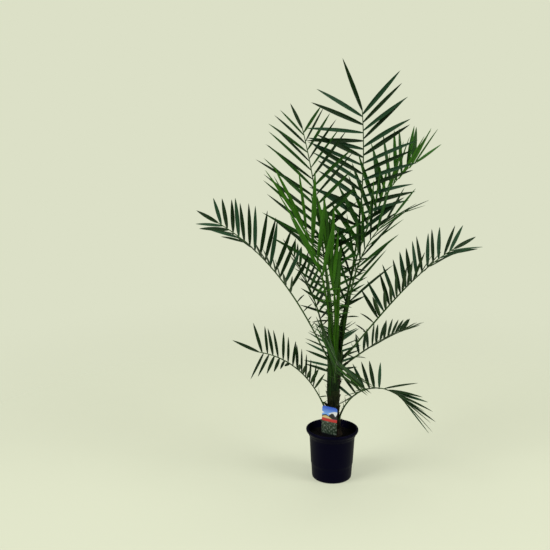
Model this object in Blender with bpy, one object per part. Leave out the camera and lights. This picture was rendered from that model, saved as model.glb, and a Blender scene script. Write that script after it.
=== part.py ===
"""A young pygmy date palm in its nursery pot. Metres, +Z up.

The origin is the middle of the pot's flat underside. The plant is seen from -Y, with +X to the right. A
frond's heading is the way it grows out, counted in degrees from +X towards +Y, so 90 leads to the back and
270 to the front. Every frond is one rib with a blade for each leaflet, worked out from the sizes in FRONDS.
"""

import math
import random
from dataclasses import dataclass

import bmesh
import bpy
import numpy as np
from mathutils import Vector
from mathutils.bvhtree import BVHTree

GAP = 0.0003  # between neighbours

# The pot: a thin round nursery pot with a rolled rim and a small ledge low on its wall.
POT_HEIGHT = 0.0760
POT_RIM_RADIUS = 0.0384
POT_NECK_RADIUS = 0.0329
POT_LEDGE_RADIUS = 0.0309
POT_FOOT_RADIUS = 0.0292
POT_NECK_HEIGHT = 0.0600
POT_LEDGE_HEIGHT = 0.0235
POT_LEDGE_DROP = 0.0035  # how far below the ledge the wall starts to widen
POT_LEDGE_DRAFT = 0.0009  # how much wider the wall is there than at its foot
POT_RIM_WIDTH = 0.0034
# The rim's outer face from below, and then its inner one: in from the outer radius, and below the pot's top.
POT_RIM_STEPS = ((0.0041, 0.0105), (0.0030, 0.0070), (0.0007, 0.0042), (0, 0.0020), (0.0006, 0.0004),
                 (0.0016, 0), (POT_RIM_WIDTH - 0.0006, 0), (POT_RIM_WIDTH, 0.0012), (0.0053, 0.0110))
POT_WALL = 0.0012
POT_FLOOR = 0.0022
POT_CORNER = 0.0040
POT_CORNER_INSET = 0.0030
POT_CORNER_STEP = (0.0009, 0.0012)  # a point on the rounded corner: in from the foot's radius, and up
# Where the inside of the wall changes its slope.
POT_WALL_HEIGHTS = (
    POT_CORNER + POT_FLOOR, POT_LEDGE_HEIGHT - POT_LEDGE_DROP, POT_LEDGE_HEIGHT, POT_NECK_HEIGHT)
POT_SIDES = 36
DRAIN_HOLES = 8
DRAIN_RING = 0.0200
DRAIN_RADIUS = 0.0025
DRAIN_SIDES = 8

SOIL_TOP = 0.0660
SOIL_FLAT_RADIUS = 0.0150
SOIL_HUMP_RADIUS, SOIL_HUMP = 0.0205, 0.0004
SOIL_BROW_RADIUS = 0.0260
SOIL_EDGE_DROP = 0.0010
SOIL_HEAVE = 0.0007
SOIL_WAVES = ((3, 1.0, 1.0), (7, 0.6, 0.0), (11, 0.4, 2.0))  # waves a turn, their share of the heave, start
SOIL_SIDES = 24

# The care tag that is pushed into the compost before the trunk.
TAG_WIDTH = 0.0236
TAG_THICKNESS = 0.0008
TAG_TOP = 0.1165
TAG_SHOULDER = 0.0742
TAG_DEPTH = 0.0140
TAG_PLACE = (-0.0066, -0.0200)
TAG_TILT = 2.0  # the lean of its head to the right
TAG_TURN = 28.0  # its right edge comes forward
TAG_CORNER = 0.0030
TAG_POINT_HALF_WIDTH = 0.0022

# The trunk, from a flat cut on the compost to the flat crown that the youngest fronds stand on.
TRUNK_FOOT = SOIL_TOP + GAP
TRUNK_TOP = 0.1960
TRUNK_RADIUS = 0.0086
TRUNK_FLARE = 0.0040
TRUNK_FLARE_HEIGHT = 0.0090
TRUNK_SWELL = 0.0012
TRUNK_FOOT_X = 0.0030
TRUNK_TOP_X = 0.0050
TRUNK_BOW = 0.0030
TRUNK_SIDES = 14
TRUNK_RINGS = 10
TRUNK_RING_EASE = 1.3  # above 1 the rings crowd at the trunk's flared foot
BOOT_COUNT = 22
BOOT_TURN = 137.5
BOOT_FIRST, BOOT_LAST = 0.0800, 0.1860
BOOT_LENGTH = 0.0100
BOOT_FOOT_WIDTH, BOOT_HEAD_WIDTH = 0.00465, 0.0031
BOOT_FOOT_THICKNESS, BOOT_HEAD_THICKNESS = 0.0022, 0.00154
BOOT_SINK = 0.0016  # how deep its foot's middle lies in the trunk
BOOT_SPLAY = 0.0024
BOOT_BEVEL = 0.8  # its outer face's width as a share of its inner one's

SEAT_STEP = 0.0001
CROWN_RING = 0.0064  # the youngest fronds stand in this ring on the trunk's flat crown

# What every frond shares.
CURVE_STEPS = 60
PETIOLE_HALF_WIDTH, PETIOLE_HALF_DEPTH = 0.0021, 0.0015
RIB_TIP_HALF_WIDTH, RIB_TIP_HALF_DEPTH = 0.0006, 0.0005
RIB_TAPER = 0.8  # below 1 the rib thins soonest near the trunk
PETIOLE_RINGS = 4
LEAFLET_FOOT = 0.0034
LEAFLET_CROWDING = 0.92  # below 1 the leaflets crowd towards the tip
LEAFLET_THICKNESS = 0.0010
LEAFLET_BELLY = 0.36  # the share of its length where a leaflet is widest
LEAFLET_DROOP = 0.03
LAST_SHARE = 0.9  # the last leaflet's length as a share of its neighbours'
ANGLE_SCATTER = 3.0
LENGTH_SCATTER = 0.05
FIRST_SEED = 11
CLEARANCE = 0.0004
BELLY_CLEARANCE = 0.0006
ROOT_CLEARANCE = 0.0006  # a leaflet is tested from this far off its rib
# What is tried in turn where a leaflet would touch: a further turn, a further lift, a share of its length.
NUDGES = ((0, 0, 1.0), (9, 0, 1.0), (-9, 0, 1.0), (0, 8, 1.0), (0, -8, 1.0), (15, 8, 0.9),
          (-15, 8, 0.9), (15, -8, 0.9), (0, 0, 0.72), (-20, 15, 0.8), (10, -15, 0.6))
FOOT_SHARE, FOOT_RINGS = 0.25, 8  # the part of a rib that has to clear the trunk, tested at these rings
SPLIT_BEND = 60.0  # a frond that bends more than this is made in two lengths

# Side 0 of the rib is its left and side 2 its right. A leaflet's belly corners are paired with the rib's.
HAND_OF_SIDE = {0: 1, 2: -1}
LEFT_ORDER, RIGHT_ORDER, END_ORDER = (0, 3, 2, 1), (3, 0, 1, 2), (0, 1, 2, 3)

GREEN = (0.030, 0.095, 0.028)
YOUNG_GREEN = (0.070, 0.200, 0.020)
POT_BLACK = (0.006, 0.006, 0.010)
COMPOST_BROWN = (0.020, 0.013, 0.009)
TAG_BLUE = (0.05, 0.16, 0.55)
TRUNK_BROWN = (0.030, 0.020, 0.012)


@dataclass
class Frond:
    """Angles in degrees, lengths in metres. Its seat is an angle round the trunk and a height on it."""

    name: str
    seat: float
    height: float
    heading: float
    rise: float  # the rib's climb at the trunk, 90 is upright
    fall: float  # its climb at the tip
    bend: float  # above 1 the bend lies near the tip
    length: float
    bare: float  # the share of the rib below the first leaflet
    leaflets: tuple  # their length at the foot, middle and tip of the leafy part
    spread: tuple  # their angle from the rib, from the foot of the leafy part to its tip
    pairs: int
    width: float
    roll: tuple = (0.0,)  # the blade's turn about its rib, from the foot of the leafy part to its tip
    vee: tuple = (20.0,)  # how far both rows are raised off the blade, likewise
    swing: float = 0.0
    skew: tuple = (0.0,)  # added to the left row's angle and taken from the right row's, likewise
    last_turn: float = 0.0  # how far the last leaflet leans to the left of the rib
    girth: float = 1.0  # how much broader the rib is than most
    young: bool = False


FRONDS = (
    Frond("frond_top", 85, TRUNK_TOP, 49, 71, 98, 1.5, 0.345, 0.42, (0.074, 0.086, 0.084),
          (62, 66, 67, 60, 66, 46), 16, 0.0060, roll=(40,), vee=(25,), swing=-5, skew=(26, 2, -5, 0, 14, 9),
          last_turn=17),
    Frond("frond_upper_left", 140, TRUNK_TOP, 124, 80, 66, 2.1, 0.322, 0.34, (0.090, 0.099, 0.045), (66, 44), 15,
          0.0050, roll=(-60, -46), vee=(32,), skew=(-13, -10), last_turn=12),
    Frond("frond_upper_right", -14, TRUNK_TOP, -12, 83, 26, 2.8, 0.226, 0.26, (0.086, 0.080, 0.045),
          (36, 30, 28, 28, 22), 10, 0.0036, roll=(90, 60, 20), vee=(18,)),
    Frond("frond_right_behind", 38, TRUNK_TOP, 41, 84, 22, 1.45, 0.320, 0.40, (0.078, 0.084, 0.066), (60, 36),
          13, 0.0066, vee=(62,)),
    Frond("frond_young_left", 200, TRUNK_TOP, 196, 84, 62, 1.6, 0.200, 0.50, (0.088, 0.108, 0.092), (22, 17), 4,
          0.0066, roll=(30,), vee=(12,), girth=1.2, young=True),
    Frond("frond_young_front", 262, TRUNK_TOP, 216, 88, 74, 1.6, 0.165, 0.45, (0.072, 0.084, 0.074), (12, 8), 5,
          0.0070, roll=(15,), vee=(25,), girth=1.2, young=True),
    Frond("frond_left", 190, 0.182, 186, 64, 31, 1.76, 0.260, 0.42, (0.060, 0.062, 0.036), (58, 52, 38), 14,
          0.0056, roll=(-36, -36, -66), vee=(52, 50, 10), skew=(0, 0, -8)),
    Frond("frond_right", 0, 0.184, 6, 50, 21, 2.4, 0.230, 0.30, (0.050, 0.053, 0.044), (78, 62, 60, 58, 52, 28),
          14, 0.0058, roll=(12, 12, 48), vee=(68, 66, 22), swing=20),
    Frond("frond_low_left", 215, 0.098, 202, 70, 14, 1.25, 0.160, 0.28, (0.034, 0.037, 0.046), (52, 66), 12,
          0.0046, roll=(-6, -40, -70), vee=(58, 38, 6), last_turn=-16),
    Frond("frond_low_right", -52, 0.092, -24, 73, -50, 1.4, 0.130, 0.30, (0.042, 0.046, 0.062),
          (96, 98, 100, 102, 104, 104, 104, 24, 18, 15, 13, 12), 12, 0.0050, roll=(30, 30, 0, 0),
          vee=(42, 42, 20, 20), swing=5),
    Frond("frond_front", 275, 0.150, 268, 58, 10, 1.2, 0.100, 0.24, (0.060, 0.070, 0.050), (80, 44), 9, 0.0072,
          roll=(-54,), vee=(12,)),
    Frond("frond_right_back", 40, 0.165, 32, 26, 4, 1.3, 0.135, 0.26, (0.040, 0.040, 0.034), (50, 28), 12,
          0.0044, vee=(35,), swing=5),
    Frond("frond_left_back", 150, 0.186, 149, 76, 52, 1.5, 0.158, 0.30, (0.040, 0.040, 0.028), (62, 36), 12,
          0.0042, vee=(25,)),
    Frond("frond_back", 95, 0.180, 98, 72, 18, 1.5, 0.205, 0.28, (0.050, 0.066, 0.040), (74, 38), 13, 0.0048,
          vee=(25,)),
    Frond("frond_low_back", 105, 0.110, 84, 66, -8, 1.3, 0.150, 0.28, (0.040, 0.046, 0.038), (84, 44), 12,
          0.0044),
)


def clear_scene():
    for obj in list(bpy.data.objects):
        bpy.data.objects.remove(obj, do_unlink=True)


def make_material(name, color, roughness):
    material = bpy.data.materials.new(name)
    material.use_nodes = True
    shader = material.node_tree.nodes["Principled BSDF"]
    shader.inputs["Base Color"].default_value = (*color, 1.0)
    shader.inputs["Roughness"].default_value = roughness
    return material


def add_object(name, verts, faces, material=None):
    mesh = bpy.data.meshes.new(name)
    mesh.from_pydata([tuple(v) for v in verts], [], faces)
    mesh.update()
    obj = bpy.data.objects.new(name, mesh)
    bpy.context.scene.collection.objects.link(obj)
    if material:
        mesh.materials.append(material)
    return obj


def turned(name, profile, sides, material):
    """A solid of revolution. The profile is (radius, height) points that start and end on the axis."""
    verts = [(0, 0, profile[0][1])]
    for radius, height in profile[1:-1]:
        for i in range(sides):
            angle = math.tau * i / sides
            verts.append((radius * math.cos(angle), radius * math.sin(angle), height))
    verts.append((0, 0, profile[-1][1]))
    last = len(verts) - 1
    faces = []
    for i in range(sides):
        j = (i + 1) % sides
        faces.append((0, 1 + j, 1 + i))
        for k in range(len(profile) - 3):
            low, high = 1 + k * sides, 1 + (k + 1) * sides
            faces.append((low + i, low + j, high + j, high + i))
        top = 1 + (len(profile) - 3) * sides
        faces.append((top + i, top + j, last))
    obj = add_object(name, verts, faces, material)
    obj.data.shade_smooth()
    obj.data.set_sharp_from_angle(angle=math.radians(35))
    return obj


def apply_modifiers(obj):
    graph = bpy.context.evaluated_depsgraph_get()
    mesh = bpy.data.meshes.new_from_object(obj.evaluated_get(graph))
    obj.modifiers.clear()
    obj.data = mesh


def join_by_boolean(obj, helpers, operation):
    """Unites the helpers with the object or cuts them from it, and removes them."""
    group = bpy.data.collections.new(obj.name + "_helpers")
    bpy.context.scene.collection.children.link(group)
    for helper in helpers:
        bpy.context.scene.collection.objects.unlink(helper)
        group.objects.link(helper)
    boolean = obj.modifiers.new("Boolean", "BOOLEAN")
    boolean.operation = operation
    boolean.operand_type = "COLLECTION"
    boolean.collection = group
    boolean.solver = "EXACT"
    apply_modifiers(obj)
    for helper in helpers:
        bpy.data.objects.remove(helper, do_unlink=True)
    bpy.data.collections.remove(group)


def pot_wall_outside(height):
    """The radius of the wall's outer face below the rim."""
    heights = (0, POT_CORNER, POT_LEDGE_HEIGHT - POT_LEDGE_DROP, POT_LEDGE_HEIGHT, POT_NECK_HEIGHT)
    radii = (POT_FOOT_RADIUS, POT_FOOT_RADIUS, POT_FOOT_RADIUS + POT_LEDGE_DRAFT, POT_LEDGE_RADIUS,
             POT_NECK_RADIUS)
    return float(np.interp(height, heights, radii))


def make_pot(material):
    corner = POT_FOOT_RADIUS - POT_CORNER_INSET
    step_in, step_up = POT_CORNER_STEP
    outside = [(0, 0), (corner, 0), (POT_FOOT_RADIUS - step_in, step_up), (POT_FOOT_RADIUS, POT_CORNER)]
    for height in (POT_LEDGE_HEIGHT - POT_LEDGE_DROP, POT_LEDGE_HEIGHT, POT_NECK_HEIGHT):
        outside.append((pot_wall_outside(height), height))
    rim = [(POT_RIM_RADIUS - inward, POT_HEIGHT - down) for inward, down in POT_RIM_STEPS]
    inside = []
    for height in reversed(POT_WALL_HEIGHTS):
        inside.append((pot_wall_outside(height) - POT_WALL, height))
    inside += [(corner - POT_WALL, POT_FLOOR), (0, POT_FLOOR)]
    pot = turned("pot", outside + rim + inside, POT_SIDES, material)
    join_by_boolean(pot, [drain_hole(i) for i in range(DRAIN_HOLES)], "DIFFERENCE")
    return pot


def drain_hole(index):
    """The plug that one hole in the pot's floor is cut with."""
    angle = math.tau * (index + 0.5) / DRAIN_HOLES
    x, y = DRAIN_RING * math.cos(angle), DRAIN_RING * math.sin(angle)
    sides = DRAIN_SIDES
    verts = []
    for z in (-POT_FLOOR, 2 * POT_FLOOR):
        for k in range(sides):
            around = math.tau * k / sides
            verts.append((x + DRAIN_RADIUS * math.cos(around), y + DRAIN_RADIUS * math.sin(around), z))
    faces = [tuple(reversed(range(sides))), tuple(range(sides, 2 * sides))]
    faces += [(k, (k + 1) % sides, sides + (k + 1) % sides, sides + k) for k in range(sides)]
    return add_object(f"drain_hole_{index}", verts, faces)


def tag_outline(grow):
    """The tag's outline from its lower point round, in its own plane: (across, up)."""
    half, top, foot = TAG_WIDTH / 2 + grow, TAG_TOP + grow, SOIL_TOP - TAG_DEPTH - grow
    side = [(TAG_POINT_HALF_WIDTH + grow, foot), (half, TAG_SHOULDER)]
    for k in range(4):
        angle = math.radians(30 * k)
        side.append((half - TAG_CORNER * (1 - math.cos(angle)), top - TAG_CORNER * (1 - math.sin(angle))))
    return side + [(-x, z) for x, z in reversed(side)]


def make_tag_blade(name, grow, material=None):
    outline = tag_outline(grow)
    tilt, turn = math.radians(TAG_TILT), math.radians(TAG_TURN)
    verts = []
    for depth in (-TAG_THICKNESS / 2 - grow, TAG_THICKNESS / 2 + grow):
        for x, z in outline:
            across = x * math.cos(tilt) + (z - TAG_SHOULDER) * math.sin(tilt)
            up = TAG_SHOULDER - x * math.sin(tilt) + (z - TAG_SHOULDER) * math.cos(tilt)
            verts.append((TAG_PLACE[0] + across * math.cos(turn) + depth * math.sin(turn),
                          TAG_PLACE[1] - across * math.sin(turn) + depth * math.cos(turn), up))
    count = len(outline)
    faces = [tuple(range(count)), tuple(reversed(range(count, 2 * count)))]
    faces += [((k + 1) % count, k, count + k, count + (k + 1) % count) for k in range(count)]
    return add_object(name, verts, faces, material)


def make_soil(material):
    """The compost: flat round the trunk and uneven towards the wall, with a slit for the tag."""
    bottom = POT_FLOOR + GAP
    profile = [(0, bottom), (POT_FOOT_RADIUS - POT_CORNER_INSET - POT_WALL - GAP, bottom)]
    for height in POT_WALL_HEIGHTS:
        profile.append((pot_wall_outside(height) - POT_WALL - GAP, height))
    edge = POT_NECK_RADIUS - GAP
    profile += [(edge, SOIL_TOP - SOIL_EDGE_DROP), (SOIL_BROW_RADIUS, SOIL_TOP),
                (SOIL_HUMP_RADIUS, SOIL_TOP + SOIL_HUMP), (SOIL_FLAT_RADIUS, SOIL_TOP), (0, SOIL_TOP)]
    soil = turned("compost", profile, SOIL_SIDES, material)
    for vert in soil.data.vertices:
        radius, angle = math.hypot(vert.co.x, vert.co.y), math.atan2(vert.co.y, vert.co.x)
        if vert.co.z > POT_NECK_HEIGHT + 0.001 and radius > SOIL_FLAT_RADIUS + 0.001:
            heave = sum(share * math.sin(waves * angle + start) for waves, share, start in SOIL_WAVES)
            vert.co.z += SOIL_HEAVE * heave
    join_by_boolean(soil, [make_tag_blade("tag_slit", GAP)], "DIFFERENCE")
    return soil


def trunk_share(height):
    return (height - TRUNK_FOOT) / (TRUNK_TOP - TRUNK_FOOT)


def trunk_center(height):
    t = trunk_share(height)
    x = TRUNK_FOOT_X * (1 - t) + TRUNK_TOP_X * t - TRUNK_BOW * 4 * t * (1 - t)
    return Vector((x, 0, height))


def trunk_radius(height):
    flare = TRUNK_FLARE * math.exp(-(height - TRUNK_FOOT) / TRUNK_FLARE_HEIGHT)
    return TRUNK_RADIUS + flare + TRUNK_SWELL * trunk_share(height) ** 3


def make_boot(index):
    """The stub of an old frond: a wedge that is sunk in the trunk and stands off it at its upper end."""
    t = index / (BOOT_COUNT - 1)
    foot = BOOT_FIRST + (BOOT_LAST - BOOT_LENGTH - BOOT_FIRST) * t
    angle = math.radians(BOOT_TURN * index)
    out, side = Vector((math.cos(angle), math.sin(angle), 0)), Vector((-math.sin(angle), math.cos(angle), 0))
    reach = trunk_radius(foot) - BOOT_SINK
    sections = (
        (foot, reach, BOOT_FOOT_WIDTH, BOOT_FOOT_THICKNESS),
        (foot + BOOT_LENGTH, reach + BOOT_SPLAY, BOOT_HEAD_WIDTH, BOOT_HEAD_THICKNESS),
    )
    verts = []
    for height, away, width, thickness in sections:
        for a, b in ((-1, -0.5), (1, -0.5), (BOOT_BEVEL, 0.5), (-BOOT_BEVEL, 0.5)):
            verts.append(trunk_center(height) + side * a * width / 2 + out * (away + b * thickness))
    faces = [(0, 1, 2, 3), (7, 6, 5, 4)] + [(k, 4 + k, 4 + (k + 1) % 4, (k + 1) % 4) for k in range(4)]
    boot = add_object(f"boot_{index}", verts, faces)
    face_outwards(boot)
    return boot


def face_outwards(obj):
    shape = bmesh.new()
    shape.from_mesh(obj.data)
    bmesh.ops.recalc_face_normals(shape, faces=shape.faces)
    shape.to_mesh(obj.data)
    shape.free()


def make_trunk(material):
    verts = []
    for k in range(TRUNK_RINGS + 1):
        height = TRUNK_FOOT + (TRUNK_TOP - TRUNK_FOOT) * (k / TRUNK_RINGS) ** TRUNK_RING_EASE
        center, radius = trunk_center(height), trunk_radius(height)
        for i in range(TRUNK_SIDES):
            angle = math.tau * i / TRUNK_SIDES
            verts.append(center + Vector((radius * math.cos(angle), radius * math.sin(angle), 0)))
    faces = [tuple(reversed(range(TRUNK_SIDES)))]
    for k in range(TRUNK_RINGS):
        low, high = k * TRUNK_SIDES, (k + 1) * TRUNK_SIDES
        for i in range(TRUNK_SIDES):
            j = (i + 1) % TRUNK_SIDES
            faces.append((low + i, low + j, high + j, high + i))
    faces.append(tuple(range(TRUNK_RINGS * TRUNK_SIDES, (TRUNK_RINGS + 1) * TRUNK_SIDES)))
    trunk = add_object("trunk", verts, faces, material)
    join_by_boolean(trunk, [make_boot(i) for i in range(BOOT_COUNT)], "UNION")
    return trunk


def spaced(values, w):
    """The value at a share of the leafy part, along which the given ones are evenly spaced."""
    return float(np.interp(w, np.linspace(0, 1, len(values)), values))


class Rib:
    """The middle line of a frond: where it runs, and which way its blade lies at each place."""

    def __init__(self, frond, start):
        self.frond = frond
        self.places = np.linspace(0, 1, CURVE_STEPS + 1)
        middles = (self.places[1:] + self.places[:-1]) / 2
        climb = np.radians(frond.rise + (frond.fall - frond.rise) * middles ** frond.bend)
        heading = np.radians(frond.heading + frond.swing * middles)
        steps = np.stack([np.cos(climb) * np.cos(heading), np.cos(climb) * np.sin(heading), np.sin(climb)], 1)
        steps *= frond.length / CURVE_STEPS
        self.points = np.vstack([np.zeros(3), np.cumsum(steps, 0)]) + np.array(start)

    def at(self, place):
        """Point, direction, left side and upper side of the blade at a share of the length."""
        f = self.frond
        climb = math.radians(f.rise + (f.fall - f.rise) * place ** f.bend)
        heading = math.radians(f.heading + f.swing * place)
        point = Vector([float(np.interp(place, self.places, self.points[:, k])) for k in range(3)])
        ahead = Vector((math.cos(heading), math.sin(heading), 0))
        along = ahead * math.cos(climb) + Vector((0, 0, math.sin(climb)))
        side = Vector((-math.sin(heading), math.cos(heading), 0))
        over = along.cross(side)
        leafy = max(0.0, place - f.bare) / (1 - f.bare)
        roll = math.radians(spaced(f.roll, leafy)) * min(1.0, place / f.bare)
        left = side * math.cos(roll) + over * math.sin(roll)
        return point, along, left, along.cross(left)

    def half_sizes(self, place):
        taper, girth = place ** RIB_TAPER, self.frond.girth
        width = PETIOLE_HALF_WIDTH + (RIB_TIP_HALF_WIDTH - PETIOLE_HALF_WIDTH) * taper
        depth = PETIOLE_HALF_DEPTH + (RIB_TIP_HALF_DEPTH - PETIOLE_HALF_DEPTH) * taper
        return width * girth, depth * girth

    def ring(self, place, grow=0.0):
        """Upper left, lower left, lower right and upper right corners."""
        point, _, left, over = self.at(place)
        width, depth = (half + grow for half in self.half_sizes(place))
        return [point + left * a * width + over * b * depth for a, b in ((1, 1), (1, -1), (-1, -1), (-1, 1))]


def leaflet_places(frond):
    """Where the leaflets' feet begin and end on the rib, closer together towards the tip."""
    foot = LEAFLET_FOOT / frond.length
    spots = []
    for k in range(frond.pairs):
        w = (k + 0.5) / frond.pairs
        middle = frond.bare + (1 - frond.bare - foot) * w ** LEAFLET_CROWDING
        spots.append((middle - foot / 2, middle + foot / 2, w))
    return spots


def leaflet_length(frond, w):
    """The length at a share of the leafy part: a curve through the lengths at its foot, middle and tip."""
    foot, middle, tip = frond.leaflets
    return foot * (1 - w) * (1 - 2 * w) + middle * 4 * w * (1 - w) + tip * w * (2 * w - 1)


def leaflet_shape(rib, place, w, hand, turn, lift, share):
    """Belly corners and tip of one leaflet. Hand is 1 for the left row and -1 for the right."""
    frond = rib.frond
    point, along, left, over = rib.at(place)
    away = math.radians(spaced(frond.spread, w) + hand * spaced(frond.skew, w) + turn)
    vee = math.radians(spaced(frond.vee, w) + lift)
    out = left * hand * math.cos(vee) + over * math.sin(vee)
    direction = along * math.cos(away) + out * math.sin(away)
    across = (along - direction * along.dot(direction)).normalized()
    normal = direction.cross(across)
    if normal.dot(over) < 0:
        normal.negate()
    length = leaflet_length(frond, w) * share
    root = point + left * hand * rib.half_sizes(place)[0]
    belly = root + direction * length * LEAFLET_BELLY
    tip = root + direction * length - Vector((0, 0, LEAFLET_DROOP * length))
    a, n = across * frond.width / 2, normal * LEAFLET_THICKNESS / 2
    return [belly - a + n, belly + a + n, belly + a - n, belly - a - n], tip


def blade_tree(corners, belly, tip):
    """The leaflet as triangles, for the test of what it would touch."""
    verts = [Vector(v) for v in (*corners, *belly, tip)]
    faces = []
    for k in range(4):
        j = (k + 1) % 4
        faces += [(k, j, 4 + j, 4 + k), (4 + k, 4 + j, 8)]
    return BVHTree.FromPolygons(verts, faces)


def tree_of(verts, faces):
    return BVHTree.FromPolygons([Vector(v) for v in verts], faces)


def seated_rib(frond, trunk_tree):
    """Moves the rib out from the trunk's middle until its lower end just clears the trunk and its stubs."""
    angle = math.radians(frond.seat)
    out = Vector((math.cos(angle), math.sin(angle), 0))
    if frond.height >= TRUNK_TOP:
        start = trunk_center(TRUNK_TOP) + out * CROWN_RING
        lowest = min(corner.z for corner in Rib(frond, start).ring(0))
        return Rib(frond, start + Vector((0, 0, TRUNK_TOP + GAP - lowest)))
    reach = trunk_radius(frond.height)
    rib = Rib(frond, trunk_center(frond.height) + out * reach)
    while not foot_clear(rib, trunk_tree):
        reach += SEAT_STEP
        rib = Rib(frond, trunk_center(frond.height) + out * reach)
    return rib


def foot_clear(rib, trunk_tree):
    """Whether the lower quarter of the rib, swollen by the gap, lies wholly outside the trunk."""
    places = np.linspace(0, FOOT_SHARE, FOOT_RINGS)
    rings = [rib.ring(place, GAP) for place in places]
    if any(signed_distance(trunk_tree, corner) <= 0 for corner in rings[0]):
        return False
    faces = [(0, 1, 2, 3)]
    for k in range(len(places) - 1):
        for side in range(4):
            j = (side + 1) % 4
            faces.append((4 * k + side, 4 * k + j, 4 * k + 4 + j, 4 * k + 4 + side))
    return not tree_of([corner for ring in rings for corner in ring], faces).overlap(trunk_tree)


def signed_distance(tree, point):
    spot, normal, _, distance = tree.find_nearest(point)
    return distance if (point - spot).dot(normal) > 0 else -distance


def rib_mesh(rib, first, last, blades):
    """The rib between two shares of its length, with its blades: verts and faces."""
    frond = rib.frond
    cuts = [first, last]
    cuts += [p for p in np.linspace(0, frond.bare, PETIOLE_RINGS, endpoint=False) if first < p < last]
    for begin, end, _ in leaflet_places(frond):
        cuts += [p for p in (begin, end) if first < p < last]
    cuts = sorted(set(cuts))
    verts, faces = [], []
    for place in cuts:
        verts += rib.ring(place)
    for k in range(len(cuts) - 1):
        low, high = 4 * k, 4 * (k + 1)
        for side in range(4):
            j = (side + 1) % 4
            quad = (low + side, low + j, high + j, high + side)
            blade = blades.get((cuts[k], HAND_OF_SIDE.get(side)))
            if blade is None:
                faces.append(quad[::-1])
            else:
                grow_blade(verts, faces, quad, blade, LEFT_ORDER if side == 0 else RIGHT_ORDER)
    faces.append((0, 1, 2, 3))
    end = 4 * (len(cuts) - 1)
    blade = blades.get("end")
    if blade is None:
        faces.append((end + 3, end + 2, end + 1, end))
    else:
        grow_blade(verts, faces, (end, end + 1, end + 2, end + 3), blade, END_ORDER)
    return verts, faces


def grow_blade(verts, faces, quad, blade, order):
    """Draws a face of the rib out to the leaflet's belly and tip. Order pairs its corners with the belly's."""
    belly, tip = blade
    start = len(verts)
    verts.extend(belly)
    verts.append(tip)
    ring = [start + i for i in order]
    for k in range(4):
        j = (k + 1) % 4
        faces.append((quad[j], quad[k], ring[k], ring[j]))
        faces.append((ring[j], ring[k], start + 4))


def end_blade(rib):
    """The last leaflet, straight on from the rib's tip."""
    point, along, left, over = rib.at(1.0)
    length, lean = rib.frond.leaflets[2] * LAST_SHARE, math.radians(rib.frond.last_turn)
    direction = along * math.cos(lean) + left * math.sin(lean)
    belly, tip = point + direction * length * LEAFLET_BELLY, point + direction * length
    a = direction.cross(-over) * rib.frond.width / 2
    n = over * LEAFLET_THICKNESS / 2
    return [belly + a + n, belly + a - n, belly - a - n, belly - a + n], tip


def grow_leaflets(rib, seed, solid_trees, others):
    """Blades for one frond, each turned, raised or shortened until it clears what is there, or left out."""
    chance = random.Random(seed)
    blades, own = {}, []
    for begin, end, w in leaflet_places(rib.frond):
        for hand in (1, -1):
            turn = chance.uniform(-ANGLE_SCATTER, ANGLE_SCATTER)
            share = 1 + chance.uniform(-LENGTH_SCATTER, LENGTH_SCATTER)
            for more_turn, more_lift, shorter in NUDGES:
                belly, tip = leaflet_shape(rib, (begin + end) / 2, w, hand, turn + more_turn, more_lift,
                                           share * shorter)
                if blade_clear(rib, (begin + end) / 2, hand, belly, tip, solid_trees + others + own):
                    blades[(begin, hand)] = (belly, tip)
                    own.append(blade_tree(*probe_corners(rib, (begin + end) / 2, hand, belly, tip, 0, 0)))
                    break
    blades["end"] = end_blade(rib)
    return blades, own


def probe_corners(rib, place, hand, belly, tip, belly_grow, tip_grow):
    """The leaflet a little swollen, from just off the rib."""
    point, along, left, over = rib.at(place)
    width, depth = rib.half_sizes(place)
    root = point + left * hand * (width + ROOT_CLEARANCE)
    half = LEAFLET_FOOT / 2
    foot = [root - along * half + over * depth, root + along * half + over * depth,
            root + along * half - over * depth, root - along * half - over * depth]
    middle = sum(belly, Vector()) / 4
    swollen = [corner + (corner - middle).normalized() * belly_grow for corner in belly]
    return foot, swollen, tip + (tip - middle).normalized() * tip_grow


def blade_clear(rib, place, hand, belly, tip, trees):
    probe = blade_tree(*probe_corners(rib, place, hand, belly, tip, BELLY_CLEARANCE, CLEARANCE))
    return not any(probe.overlap(tree) for tree in trees)


def split_place(frond):
    """Where a frond that bends far is parted: half way through its bend."""
    if abs(frond.rise - frond.fall) <= SPLIT_BEND:
        return None
    return 0.5 ** (1 / frond.bend)


def make_fronds(solids, materials):
    trunk_tree = solids[0]
    ribs = [seated_rib(frond, trunk_tree) for frond in FRONDS]
    bare_trees = []
    for rib in ribs:
        verts, faces = rib_mesh(rib, 0.0, 1.0, {})
        bare_trees.append(tree_of(verts, faces))
    for i, first in enumerate(bare_trees):
        for j in range(i):
            if first.overlap(bare_trees[j]):
                print("ribs touch:", FRONDS[i].name, FRONDS[j].name)
    end_trees = [end_tree(rib) for rib in ribs]
    grown = []
    for i, rib in enumerate(ribs):
        fixed = solids + [tree for trees in (bare_trees, end_trees) for j, tree in enumerate(trees) if j != i]
        blades, own = grow_leaflets(rib, FIRST_SEED + i, fixed, grown)
        grown += own
        print(rib.frond.name, len(blades) - 1, "of", 2 * rib.frond.pairs, "leaflets")
        material = materials["young" if rib.frond.young else "green"]
        part = split_place(rib.frond)
        if part is None:
            lengths = ((rib.frond.name, 0.0, 1.0),)
        else:
            half_gap = 0.5 * GAP / rib.frond.length
            near = free_of_leaflets(rib.frond, part)
            lengths = ((rib.frond.name + "_foot", 0.0, near - half_gap), (rib.frond.name, near + half_gap, 1.0))
        for name, first, last in lengths:
            kept = {key: blade for key, blade in blades.items() if key != "end" or last == 1.0}
            add_object(name, *rib_mesh(rib, first, last, kept), material)


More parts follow.
